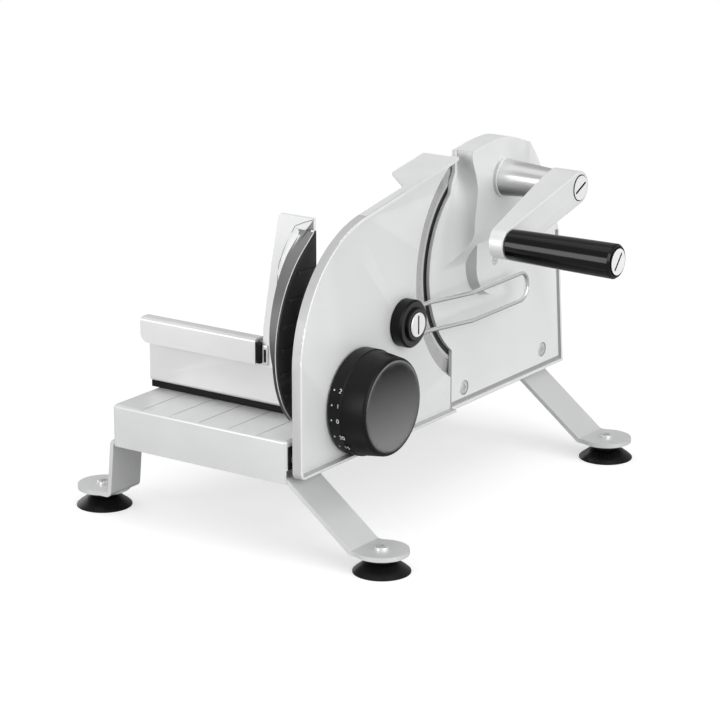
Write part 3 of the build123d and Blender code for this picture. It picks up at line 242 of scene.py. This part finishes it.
def finish(name, light, dark, metallic, rough, stretch=(1, 1, 1), grain_scale=900.0, bump=0.05,
           coat=0.0, specular=0.5, edge=0.25, under=0.3, front=0.0, axis=None, fade=None, slot=None,
           dished=None):
    """Material whose colour and roughness drift with the cloud and whose grain lifts the surface.

    rough is (least, most).  edge, under and front are the strength of the lightening on worn edges
    and of the painted shade on faces that look down or back along the loaf.  axis is a point on the
    X-parallel axis that the grain turns round; fade is (lowest z, highest z, colour at the bottom),
    painted shade on the tube and painted reflection on the guard's rim; slot is (radius, colour
    nearer the axis), painted shade in the blade's slot; dished is (colour at the top, colour at the
    bottom) of a painted reflection on a dish that stands on edge.
    """
    material = bpy.data.materials.new(name)
    material.use_nodes = True
    tree = material.node_tree
    shader = tree.nodes["Principled BSDF"].inputs
    shader["Metallic"].default_value = metallic
    shader["Coat Weight"].default_value = coat
    shader["Coat Roughness"].default_value = COAT_ROUGH
    shader["Specular IOR Level"].default_value = specular

    position = where = add_node(tree, "TexCoord").outputs["Object"]
    if axis is not None:
        inputs = {"Position": position, "Axis": tuple(axis)}
        where = add_node(tree, "Group", inputs, node_tree=TURNED).outputs["Unrolled"]
    inputs = {"Position": where, "Stretch": stretch, "Grain scale": grain_scale,
              "Cloud scale": CLOUD_SCALE}
    grain = add_node(tree, "Group", inputs, node_tree=GRAIN).outputs
    inputs = {"Cloud": grain["Cloud"], "Edge": edge, "Under": under}
    worn_and_shaded = add_node(tree, "Group", inputs, node_tree=WEAR_AND_SHADE).outputs

    colour = mix(tree, grain["Cloud"], dark, light)
    # darker towards the bottom: painted shade on the tube, painted reflection on the guard's rim
    if fade:
        lowest, highest, bottom = fade
        inputs = {"Position": position, "Lowest": lowest, "Highest": highest}
        share = add_node(tree, "Group", inputs, node_tree=FADE).outputs["Share"]
        colour = mix(tree, share, bottom, colour)
    # painted shade of the slot beside the frame, near black inside the radius
    if slot:
        slot_r, inside = slot
        beyond = span(tree, split(tree, where)["X"], slot_r, slot_r + SLOT_BLEND)
        colour = mix(tree, beyond, inside, colour)
    # painted reflection on a dished face, from dark at the top to light at the bottom
    if dished:
        lean = split(tree, add_node(tree, "NewGeometry").outputs["Normal"])
        shade = mix(tree, span(tree, lean["Z"], *DISH_LEAN), *dished)
        colour = mix(tree, span(tree, lean["X"], *DISH_FACE), colour, shade)
    # painted shade on faces that look back, then on faces that look down
    if front:
        share = maths(tree, "MULTIPLY", worn_and_shaded["Front"], front)
        colour = mix(tree, share, colour, [FRONT_DARK * c for c in dark])
    colour = mix(tree, worn_and_shaded["Dark"], colour, [UNDER_DARK * c for c in dark])
    worn = [min(1.0, WORN_GAIN * c + WORN_LIFT) for c in light]
    feed(tree, shader["Base Color"], mix(tree, worn_and_shaded["Light"], colour, worn))

    both = maths(tree, "ADD", grain["Grain"], grain["Cloud"])
    feed(tree, shader["Roughness"], span(tree, both, *GRAIN_AND_CLOUD, *rough))
    inputs = {"Strength": bump, "Distance": BUMP_DEPTH, "Height": grain["Grain"]}
    feed(tree, shader["Normal"], add_node(tree, "Bump", inputs).outputs["Normal"])
    return material


# TUBE_FADE darkens the tube below its axis: painted shade
TUBE_FADE = (CRANK_AXIS.z - 8 * MM, CRANK_AXIS.z - 3 * MM, grey(0.10))
# RIM_FADE darkens the guard's rim towards the bottom below its lighter top: painted reflection
RIM_FADE = (125 * MM, 225 * MM, grey(0.03))
# radius inside which the blade's flat takes the slot's painted shade
SLOT_R = 73.5 * MM

# under, on every finish, and front darken faces that look down and back: painted shade
LACQUER = finish("silver_lacquer", grey(0.80, -0.005), grey(0.755, -0.005), 0.20, (0.34, 0.46),
                 grain_scale=1800, bump=0.10)
# front darkens the housing's faces that look back: painted shade
CAST = finish("cast_silver_lacquer", grey(0.87, -0.005), grey(0.82, -0.005), 0.25, (0.44, 0.56),
              grain_scale=1500, bump=0.12, front=0.5)
# the tube's fade and strong under darken its lower side: painted shade
TUBE = finish("smooth_bearing_tube", grey(0.76), grey(0.70), 0.85, (0.26, 0.34),
              bump=0.04, under=0.9, axis=CRANK_AXIS, fade=TUBE_FADE)
SHEET = finish("satin_anodised_sheet", grey(0.75, -0.004), grey(0.70, -0.004), 0.35, (0.34, 0.46),
               stretch=(1, 0.03, 1), grain_scale=2200, bump=0.08)
POLISHED = finish("polished_sheet", grey(0.84), grey(0.80), 0.35, (0.26, 0.36),
                  stretch=(0.03, 1, 1), grain_scale=2200, bump=0.05, under=0.15)
LEGS = finish("satin_flat_bar", grey(0.78, -0.004), grey(0.73, -0.004), 0.45, (0.34, 0.46),
              stretch=(0.05, 1, 0.05), grain_scale=2000, bump=0.08, under=0.5)
GROUND = finish("ground_blade_steel", grey(0.82), grey(0.74), 0.85, (0.20, 0.32),
                grain_scale=2600, bump=0.10, axis=BLADE_AXIS)
# near black on the blade's flat inside SLOT_R: painted shade in the slot
BLADE_SLOT_SHADE = finish("blade_in_the_slot", grey(0.80), grey(0.74), 0.6, (0.30, 0.42),
                   axis=BLADE_AXIS, slot=(SLOT_R, grey(0.01)))
# darker copy of the plate's lacquer for its outer edge: painted shade
PLATE_EDGE_SHADE = finish("plate_edge_painted_shade", grey(0.56), grey(0.51), 0.2, (0.46, 0.58),
              grain_scale=1800, specular=0.3)
# dark line on the plate's edge radius and along the guard's fold: painted shade
SHADE_LINE = finish("painted_shade_line", grey(0.24), grey(0.20), 0.0, (0.5, 0.6),
                   edge=0.0, specular=0.1)
# grey in the frame's channel and round its screws: painted shade
CHANNEL_SHADE = finish("painted_channel_shade", grey(0.44), grey(0.40), 0.3, (0.40, 0.52), edge=0.0)
SCREW_FACE = finish("turned_screw_head", grey(0.93), grey(0.88), 0.25, (0.26, 0.36),
                    grain_scale=1500)
ZINC = finish("plated_steel", grey(0.80), grey(0.72), 0.55, (0.22, 0.34), grain_scale=1500)
BRONZE = finish("sintered_bronze", (0.62, 0.47, 0.27), (0.50, 0.37, 0.20), 1.0, (0.35, 0.5),
                grain_scale=3000, bump=0.2)
NYLON = finish("natural_nylon", grey(0.84, 0.01), grey(0.78, 0.02), 0.0, (0.40, 0.55))
BLACK = finish("matt_black_plastic", grey(0.006), grey(0.003), 0.0, (0.30, 0.44),
               grain_scale=2500, bump=0.12, specular=0.16, edge=0.05)
# lighter flats of the black knob: painted reflection
KNOB_FACE = finish("knob_face_painted_reflection", grey(0.050), grey(0.036), 0.0, (0.34, 0.46),
                   grain_scale=2500, bump=0.12, specular=0.25, edge=0.3)
# dished paints a reflection on the dial's face, dark at the top and light at the bottom
DIAL_BLACK = finish("satin_dial_plastic", grey(0.010), grey(0.006), 0.0, (0.32, 0.44),
                    grain_scale=2500, bump=0.12, specular=0.16, edge=0.05,
                    dished=(grey(0.014), grey(0.19)))
GLOSS = finish("gloss_black_plastic", grey(0.004), grey(0.002), 0.0, (0.10, 0.18),
               bump=0.02, coat=0.15, specular=0.22, edge=0.02)
RUBBER = finish("black_rubber", grey(0.006), grey(0.003), 0.0, (0.24, 0.40),
                grain_scale=1200, bump=0.08, specular=0.22, edge=0.03)
GUARD = finish("silver_plastic", grey(0.86, -0.003), grey(0.83, -0.003), 0.1, (0.34, 0.46),
               grain_scale=1600)
# grey of the black plastic rim, lighter at the top: painted reflection
GUARD_RIM = finish("guard_rim_painted_reflection", grey(0.27), grey(0.24), 0.1, (0.30, 0.42),
                   bump=0.02, edge=0.1, fade=RIM_FADE)
# edge lightens the ribs: partly wear, partly painted highlight
INSERT = finish("ribbed_black_insert", grey(0.012), grey(0.008), 0.0, (0.30, 0.44),
                specular=0.35, edge=0.9)
# under darkens the wire's lower half: painted shade
WIRE = finish("polished_wire", grey(0.95), grey(0.91), 0.8, (0.10, 0.18), bump=0.02, under=1.0)
# near black in joints, screw recesses and slots and on the frame's leading edge: painted shade
RECESS_SHADE = finish("painted_joint_shade", grey(0.010), grey(0.006), 0.0, (0.6, 0.8), edge=0.0, specular=0.1)
PRINT = finish("white_print", grey(0.85), grey(0.80), 0.0, (0.45, 0.6), edge=0.0, under=0.0)

BY_SLOT = {
    "satin_sheet": SHEET, "silver_paint": LACQUER, "satin_legs": LEGS, "blade_steel": GROUND,
    "zinc_steel": ZINC, "bronze_bush": BRONZE, "white_nylon": NYLON, "black_plastic": BLACK,
    "black_gloss": GLOSS, "cup_rubber": RUBBER, "guard_plastic": GUARD, "bow_wire": WIRE,
}
BY_NODE = {
    "frame": CAST, "carriage_sheet": POLISHED, "guard_insert": INSERT, "thickness_dial": DIAL_BLACK,
    "crank_screw": SCREW_FACE, "grip_bolt": SCREW_FACE, "bow_screw": SCREW_FACE,
}
for name, obj in nodes.items():
    obj.data.materials.clear()
    obj.data.materials.append(BY_NODE.get(name, BY_SLOT[SLOT[name]]))


# ---------------------------------------------------------------- where a finish, painted shade and painted reflection change on a solid
FACING = 0.9  # least cosine of a face that looks along an axis
DEAD_FLAT = 0.998  # the same for a flat without its bevel
TUBE_ROOT_X, TUBE_MOUTH_X, NEAR_TUBE_R, ARM_HUB_R = 34 * MM, 69 * MM, 15 * MM, 14 * MM
LEAD_MAX_X, LEAD_MAX_Y, LEAD_MIN_Z = 17.4 * MM, 24 * MM, 80 * MM
PLATE_EDGE_MIN_X = 17.2 * MM
CHANNEL_MIN_X, CHANNEL_MAX_X = 17.2 * MM, 17.7 * MM
SCREW_SEATS = ((35.9 * MM, 66.6 * MM), (139.4 * MM, 69.8 * MM))
SEAT_R, PANEL_FACE_X = 5.5 * MM, 18.66 * MM
RIM_MIN_X, RIM_MAX_Y = -4.5 * MM, -126.2 * MM
SLOT_FLOOR_DEPTH = 0.35 * MM


def from_axis(point, axis):
    """Distance of a point from an X-parallel axis."""
    return math.hypot(point.y - axis.y, point.z - axis.z)


def on_tube(point, normal):
    """Outside of the crank's bearing tube."""
    near = from_axis(point, CRANK_AXIS) < NEAR_TUBE_R
    return near and point.x > TUBE_ROOT_X and abs(normal.x) < FACING


def tube_mouth(point, normal):
    """End face of the bearing tube, in the narrow joint behind the crank arm."""
    return point.x > TUBE_MOUTH_X and normal.x > FACING


def arm_back(point, normal):
    """Back of the crank arm's hub, in the same joint."""
    return normal.x < -FACING and from_axis(point, CRANK_AXIS) < ARM_HUB_R


def frame_lead(point, normal):
    """Narrow leading edge of the frame beside the blade."""
    beside_blade = point.x < LEAD_MAX_X and point.y < LEAD_MAX_Y and point.z > LEAD_MIN_Z
    return beside_blade and normal.y < -0.5


def blade_front(point, normal):
    """Flat of the blade that shows in the narrow slot beside the frame."""
    return normal.x > DEAD_FLAT


def knob_face(point, normal):
    """Flats of the bow's knob that look to the slice side."""
    return normal.x > FACING


def guard_rim(point, normal):
    """Curved outer rim of the thumb guard."""
    outward = abs(normal.x) < 0.3 and normal.y < -0.3
    return outward and point.x > RIM_MIN_X and point.y < RIM_MAX_Y


def plate_edge(point, normal):
    """Outer edge of the stop plate, without its roof."""
    return abs(normal.x) < 0.5 and point.x > PLATE_EDGE_MIN_X


def channel(point, normal):
    """Floor of the channel along the frame's lower and rear edges."""
    return normal.x > FACING and CHANNEL_MIN_X < point.x < CHANNEL_MAX_X


def screw_ring(point, normal):
    """Recess round each of the frame's screws."""
    near = any(math.hypot(point.y - y, point.z - z) < SEAT_R for y, z in SCREW_SEATS)
    return near and point.x < PANEL_FACE_X


def sunk(node, steep=0.6):
    """Test for the sides of a screw's head, which faces +X, and for the floor of its slot.

    steep is the least cosine of a face that still belongs to the head's front.
    """
    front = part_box(node)[1].x

    def test(point, normal):
        return abs(normal.x) < steep or front - point.x > SLOT_FLOOR_DEPTH

    return test


# ---------------------------------------------------------------- dressed copies of the solids
MERGE = 2e-6
FLAT_WITHIN = 0.4  # degrees between triangles that are one flat face
SHARP_FROM, BEVEL_FROM = 32, 30  # least degrees between faces of a sharp edge and of a bevelled one
SHARP_BY_NODE = {"thumb_guard": 12}


def skin(name, edge, zones=(), edge_material=None):
    """A node's own surface with merged seams, smooth where it curves, and a small radius on edges.

    edge is that radius in mm.  zones are (material, test) pairs; a face takes the first material
    whose test(centre, normal) holds.  edge_material is given to the small radius alone.
    """
    node = nodes[name]
    mesh = node.data.copy()
    mesh.name = name + "_skin"
    for layer in ("custom_normal", "sharp_edge", "sharp_face"):
        if layer in mesh.attributes:
            mesh.attributes.remove(mesh.attributes[layer])
    work = bmesh.new()
    work.from_mesh(mesh)
    bmesh.ops.remove_doubles(work, verts=work.verts, dist=MERGE)
    bmesh.ops.dissolve_limit(work, angle_limit=math.radians(FLAT_WITHIN), verts=work.verts,
                             edges=work.edges)
    work.to_mesh(mesh)
    work.free()
    for material, _ in zones:
        mesh.materials.append(material)
    for face in mesh.polygons:
        face.use_smooth = True
        for k, (_, test) in enumerate(zones):
            if test(face.center, face.normal):
                face.material_index = k + 1
                break
    sharp = SHARP_BY_NODE.get(name, SHARP_FROM)
    mesh.set_sharp_from_angle(angle=math.radians(sharp))
    obj = bpy.data.objects.new(name + "_skin", mesh)
    bpy.context.scene.collection.objects.link(obj)
    if edge:
        radius = obj.modifiers.new("edge_radius", "BEVEL")
        radius.width = edge * MM
        radius.segments = 2
        radius.limit_method = "ANGLE"
        radius.angle_limit = math.radians(max(sharp, BEVEL_FROM))
        radius.harden_normals = True
        radius.use_clamp_overlap = True
        if edge_material:
            mesh.materials.append(edge_material)
            radius.material = len(mesh.materials) - 1
    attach(obj, node["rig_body"])
    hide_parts(name)


# edge radius in mm, zones and the finish of the edge radius
SKINS = {
    "table": (0.35,),
    "carriage_sheet": (0.3,),
    "stop_plate": (0.45, ((PLATE_EDGE_SHADE, plate_edge),), SHADE_LINE),
    "frame": (0.4, ((TUBE, on_tube), (RECESS_SHADE, tube_mouth), (RECESS_SHADE, frame_lead),
                    (CHANNEL_SHADE, channel), (CHANNEL_SHADE, screw_ring))),
    "crank_arm": (0, ((RECESS_SHADE, arm_back),)),
    "front_leg_strap": (0.4,),
    "rear_leg_strap": (0.4,),
    "thumb_guard": (0.3, ((GUARD_RIM, guard_rim),)),
    "guard_insert": (0.2,),
    "grip": (0,),
    "thickness_dial": (0,),
    "bow_knob": (0, ((KNOB_FACE, knob_face),)),
    "slice_bow": (0,),
    "suction_cups": (0.15,),
    "crank_screw": (0, ((RECESS_SHADE, sunk("crank_screw", steep=0.9)),)),
    "grip_bolt": (0, ((RECESS_SHADE, sunk("grip_bolt", steep=0.9)),)),
    "bow_screw": (0, ((RECESS_SHADE, sunk("bow_screw")),)),
    "foot_screws": (0,),
    "blade": (0, ((BLADE_SLOT_SHADE, blade_front),)),
    "frame_screws": (0.1,),
    "carriage_runners": (0.4,),
    "rod_guides": (0.2,),
    "plate_rods": (0,),
    "blade_screw": (0.15,),
}
for name, dressing in SKINS.items():
    skin(name, *dressing)


# ---------------------------------------------------------------- pieces made of points
def mesh_piece(name, points, faces, material, body, slot, thick=0.0):
    """Smooth mesh from point and face arrays, carried by a body; thick gives a flat one a back."""
    mesh = bpy.data.meshes.new(name)
    mesh.from_pydata(np.asarray(points).tolist(), [], [[int(k) for k in face] for face in faces])
    mesh.polygons.foreach_set("use_smooth", np.ones(len(mesh.polygons), bool))
    mesh.materials.append(material)
    obj = bpy.data.objects.new(name, mesh)
    bpy.context.scene.collection.objects.link(obj)
    if thick:
        wall = obj.modifiers.new("thickness", "SOLIDIFY")
        wall.thickness = thick
        wall.offset = -1
    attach(obj, body)


def ribbon(line, width):
    """Flat band along a polyline: each point moved half a width to either side, across its run."""
    run = np.gradient(line, axis=0)
    run /= np.linalg.norm(run, axis=1)[:, None]
    side = np.stack([-run[:, 1], run[:, 0]], axis=1) * width / 2
    return np.stack([line + side, line - side], axis=1).reshape(-1, 2)


def band_faces(count, first=0):
    """Four-sided faces of a ribbon of count points, whose first point has the given number."""
    return [(k, k + 1, k + 3, k + 2) for k in range(first, first + count - 2, 2)]


# ---------------------------------------------------------------- printed dial scale
low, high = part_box("thickness_dial")
RIM_R = (high.z - low.z) / 2 + 0.05 * MM
PRINT_T = 0.04 * MM
DOT_X, DOT_R, DOT_SIDES = 23.4 * MM, 0.62 * MM, 16
FIGURE_X, FIGURE_H, FIGURE_W, STROKE = 28.2 * MM, 2.6 * MM, 1.6 * MM, 0.5 * MM
FIGURE_PITCH = 1.37 * FIGURE_W
SCALE = (("2", 154.0), ("1", 170.2), ("0", 186.5), ("20", 206.5), ("15", 222.5))


def arc(cy, cz, ry, rz, start, end, steps=15):
    """Elliptical arc: centre plus the radii times cosine and sine of an even run of angles."""
    t = np.linspace(start, end, steps)
    return np.stack([cy + ry * np.cos(t), cz + rz * np.sin(t)], axis=1)


# strokes of each figure in a unit box, across and up
STROKES = {
    "0": [arc(0.5, 0.5, 0.5, 0.5, 0, 2 * np.pi, 25)],
    "1": [np.array([(0.2, 0.78), (0.55, 1.0), (0.55, 0.0)])],
    "2": [np.vstack([arc(0.5, 0.70, 0.46, 0.30, 2.7, -0.6), [(0.04, 0.0), (1.0, 0.0)]])],
    "5": [np.vstack([[(0.95, 1.0), (0.2, 1.0), (0.12, 0.56)],
                     arc(0.46, 0.32, 0.50, 0.32, 2.0, -2.6)])],
}


def on_rim(across, up, angle):
    """Points on the dial's rim: x is across, and the angle round the axis is less up over radius."""
    turn = math.radians(angle) - up / RIM_R
    y, z = DIAL_AXIS.y + RIM_R * np.cos(turn), DIAL_AXIS.z + RIM_R * np.sin(turn)
    return np.stack([across, y, z], axis=1)


def dial_scale():
    """Figures and dots printed round the dial's rim, as one mesh of bands and discs laid on it."""
    points, faces, count = [], [], 0
    for text, angle in SCALE:
        for place, figure in enumerate(text):
            for stroke in STROKES[figure]:
                band = ribbon(stroke * (FIGURE_W, FIGURE_H), STROKE)
                across = FIGURE_X + place * FIGURE_PITCH + band[:, 0] - FIGURE_W / 2
                points.append(on_rim(across, band[:, 1] - FIGURE_H / 2, angle))
                faces += band_faces(len(band), count)
                count += len(band)
        t = np.linspace(0, 2 * np.pi, DOT_SIDES, endpoint=False)
        points.append(on_rim(DOT_X + DOT_R * np.cos(t), DOT_R * np.sin(t), angle))
        faces.append(range(count, count + DOT_SIDES))
        count += DOT_SIDES
    return np.vstack(points), faces


mesh_piece("dial_scale", *dial_scale(), PRINT, "dial", SLOT["thickness_dial"], thick=PRINT_T)


# ---------------------------------------------------------------- thumb guard: painted shade along the fold, rim tip and latch
FOLD = np.array([(6.6, 216.3), (-0.6, 213.6), (-7.7, 210.4), (-12.0, 203.2),
                 (-16.7, 193.8), (-20.8, 183.6), (-22.1, 173.2), (-22.9, 165.6)])
FOLD_W, FOLD_Y, FOLD_T = 0.45, -125.66, 0.05 * MM
TIP = np.array([(6.8, 216.3), (3.8, 212.4), (0.6, 208.5), (-0.7, 206.9), (6.8, 208.0)])
TIP_Y, TIP_T = -125.68, 0.06 * MM
# name, middle and half sizes in mm, finish, and the node whose slot is passed to mesh_piece
LATCH = (
    ("guard_latch", (-36.0, -127.6, 121.6), (1.9, 1.6, 7.2), BLACK, "guard_insert"),
    ("guard_latch_plate", (-31.9, -126.5, 120.2), (2.1, 0.8, 6.8), ZINC, "guard_screws"),
    ("guard_latch_slot", (-31.6, -127.1, 120.0), (0.9, 0.5, 4.4), GLOSS, "guard_insert"),
)


def standing(outline, y):
    """Points (x, z) and one y, all in mm, as points in metres."""
    return np.stack([outline[:, 0], np.full(len(outline), y), outline[:, 1]], axis=1) * MM


def rounded_block(middle, half, power=0.25, rings=12, sides=24):
    """Superellipsoid: half sizes times signed powers of the cosines and sines of both angles."""
    lat = np.linspace(-np.pi / 2, np.pi / 2, rings + 1)[1:-1]
    lon = np.linspace(0, 2 * np.pi, sides, endpoint=False)
    v, u = np.meshgrid(lat, lon, indexing="ij")

    def signed(value):
        return np.sign(value) * np.abs(value) ** power

    girth = signed(np.cos(v))
    grid = np.stack([girth * signed(np.cos(u)), girth * signed(np.sin(u)), signed(np.sin(v))],
                    axis=-1).reshape(-1, 3)
    points = np.vstack([grid, [(0, 0, -1), (0, 0, 1)]]) * half + middle
    south, north = len(grid), len(grid) + 1
    top = (rings - 2) * sides
    faces = []
    for k in range(sides):
        after = (k + 1) % sides
        faces.append((south, after, k))
        for r in range(0, top, sides):
            faces.append((r + k, r + after, r + sides + after, r + sides + k))
        faces.append((north, top + k, top + after))
    return points, faces


# dark band laid on the guard's sheet along its fold: painted shade
fold_band = ribbon(FOLD, FOLD_W)
mesh_piece("guard_fold_painted_shade", standing(fold_band, FOLD_Y), band_faces(len(fold_band)), SHADE_LINE,
           "carriage", SLOT["thumb_guard"], thick=FOLD_T)
# the rim's painted reflection carried up to the guard's point
mesh_piece("guard_rim_tip", standing(TIP, TIP_Y), [range(len(TIP))], GUARD_RIM,
           "carriage", SLOT["thumb_guard"], thick=TIP_T)
# guard_latch's black stands partly for the shade round the guard's screw boss: partly painted shade
for name, middle, half, material, like in LATCH:
    points, faces = rounded_block(np.array(middle) * MM, np.array(half) * MM)
    mesh_piece(name, points, faces, material, "carriage", SLOT[like])


# ---------------------------------------------------------------- washer behind the crank arm
ARM_BACK_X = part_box("crank_arm")[0].x
WASHER_X = (ARM_BACK_X - 0.9 * MM, ARM_BACK_X - 0.1 * MM)
WASHER_BORE_R, WASHER_R = 5.1 * MM, 9.8 * MM


def flat_ring(x_range, inner, outer, axis, sides=64):
    """Ring round an X-parallel axis: four circles of points, joined as two faces, rim and bore."""
    t = np.linspace(0, 2 * np.pi, sides, endpoint=False)
    back, front = x_range
    corners = ((back, inner), (back, outer), (front, outer), (front, inner))
    circles = [np.stack([np.full(sides, x), axis.y + r * np.cos(t), axis.z + r * np.sin(t)], axis=1)
               for x, r in corners]
    faces = []
    for ring in range(4):
        here, there = ring * sides, (ring + 1) % 4 * sides
        for k in range(sides):
            after = (k + 1) % sides
            faces.append((here + k, here + after, there + after, there + k))
    return np.vstack(circles), faces


# the washer's near black is the painted shade of the joint behind the arm
mesh_piece("thrust_washer", *flat_ring(WASHER_X, WASHER_BORE_R, WASHER_R, CRANK_AXIS), RECESS_SHADE,
           "crank", SLOT["crank_arm"])


# ---------------------------------------------------------------- floor, light and camera
FLOOR_HALF = 6
FLOOR_FADE = (1.3, 0.5)  # distances where the floor has gone and where it is whole
FLOOR_GREY, FLOOR_GLOW = 0.62, 0.54  # as the eye sees it
FLOOR_LIT, FLOOR_MIRRORED = 0.80, 0.50  # as it lights the object, and as the object mirrors it
SURROUND_LIGHT, SURROUND_SEEN = 0.45, 1.0
# name, place, target, size and watts
SOFT_BOXES = (
    ("top_box", (0.1, -0.1, 1.4), (0, 0, 0.1), (1.6, 1.6), 5),
    ("right_box", (1.7, -0.4, 0.7), (0, 0, 0.12), (1.8, 1.6), 23),
    ("left_box", (-0.7, -1.8, 0.5), (0, 0, 0.1), (1.0, 1.0), 14),
    ("rear_box", (-1.9, 0.5, 0.7), (0, 0, 0.12), (1.4, 1.4), 9),
)
CAMERA_PLACE = (1.04368, -1.56616, 0.64157)
CAMERA_TILT, CAMERA_TURN = 73.72, 34.79
FOCAL_LENGTH, SENSOR = 143.06, 36.0


def floor():
    """Large pale plain sheet under the feet that runs out into the white surround."""
    h = FLOOR_HALF
    mesh = bpy.data.meshes.new("floor")
    mesh.from_pydata([(-h, -h, 0), (h, -h, 0), (h, h, 0), (-h, h, 0)], [], [(0, 1, 2, 3)])
    obj = bpy.data.objects.new("floor", mesh)
    bpy.context.scene.collection.objects.link(obj)
    material = bpy.data.materials.new("pale_floor")
    material.use_nodes = True
    tree = material.node_tree
    shader = tree.nodes["Principled BSDF"].inputs
    shader["Roughness"].default_value = 0.9
    shader["Specular IOR Level"].default_value = 0.0
    shader["Emission Strength"].default_value = 1.0
    ray = add_node(tree, "LightPath").outputs
    unseen = mix(tree, ray["Is Glossy Ray"], grey(FLOOR_LIT), grey(FLOOR_MIRRORED))
    feed(tree, shader["Base Color"], mix(tree, ray["Is Camera Ray"], unseen, grey(FLOOR_GREY)))
    glow = mix(tree, ray["Is Camera Ray"], grey(0.0), grey(FLOOR_GLOW))
    feed(tree, shader["Emission Color"], glow)
    position = add_node(tree, "TexCoord").outputs["Object"]
    distance = vector_maths(tree, "LENGTH", position)["Value"]
    feed(tree, shader["Alpha"], span(tree, distance, *FLOOR_FADE))
    mesh.materials.append(material)


def studio_air():
    """Even white surround: bright to the eye, dim as a light so that the soft boxes give shape."""
    world = bpy.data.worlds.new("studio")
    world.use_nodes = True
    tree = world.node_tree
    white = (1.0, 1.0, 1.0, 1)
    dim = tree.nodes["Background"]
    dim.inputs["Color"].default_value = white
    dim.inputs["Strength"].default_value = SURROUND_LIGHT
    bright = add_node(tree, "Background", {"Color": white, "Strength": SURROUND_SEEN})
    seen = add_node(tree, "LightPath").outputs["Is Camera Ray"]
    choose = add_node(tree, "MixShader", {0: seen, 1: dim.outputs[0], 2: bright.outputs[0]})
    feed(tree, tree.nodes["World Output"].inputs["Surface"], choose.outputs[0])
    bpy.context.scene.world = world


def soft_box(name, place, target, size, watts):
    """Rectangular area light that faces a point."""
    data = bpy.data.lights.new(name, "AREA")
    data.shape = "RECTANGLE"
    data.size, data.size_y = size
    data.energy = watts
    lamp = bpy.data.objects.new(name, data)
    lamp.location = place
    lamp.rotation_euler = (Vector(target) - Vector(place)).to_track_quat("-Z", "Y").to_euler()
    bpy.context.scene.collection.objects.link(lamp)


def camera():
    """Long lens at the front of the slice side, a little above the machine."""
    lens = bpy.data.cameras.new("camera")
    lens.sensor_width = SENSOR
    lens.lens = FOCAL_LENGTH
    lens.clip_start, lens.clip_end = 0.05, 50
    obj = bpy.data.objects.new("camera", lens)
    obj.location = CAMERA_PLACE
    obj.rotation_euler = (math.radians(CAMERA_TILT), 0, math.radians(CAMERA_TURN))
    bpy.context.scene.collection.objects.link(obj)
    bpy.context.scene.camera = obj


floor()
studio_air()
for box in SOFT_BOXES:
    soft_box(*box)
camera()
bpy.context.scene.view_settings.view_transform = "Standard"
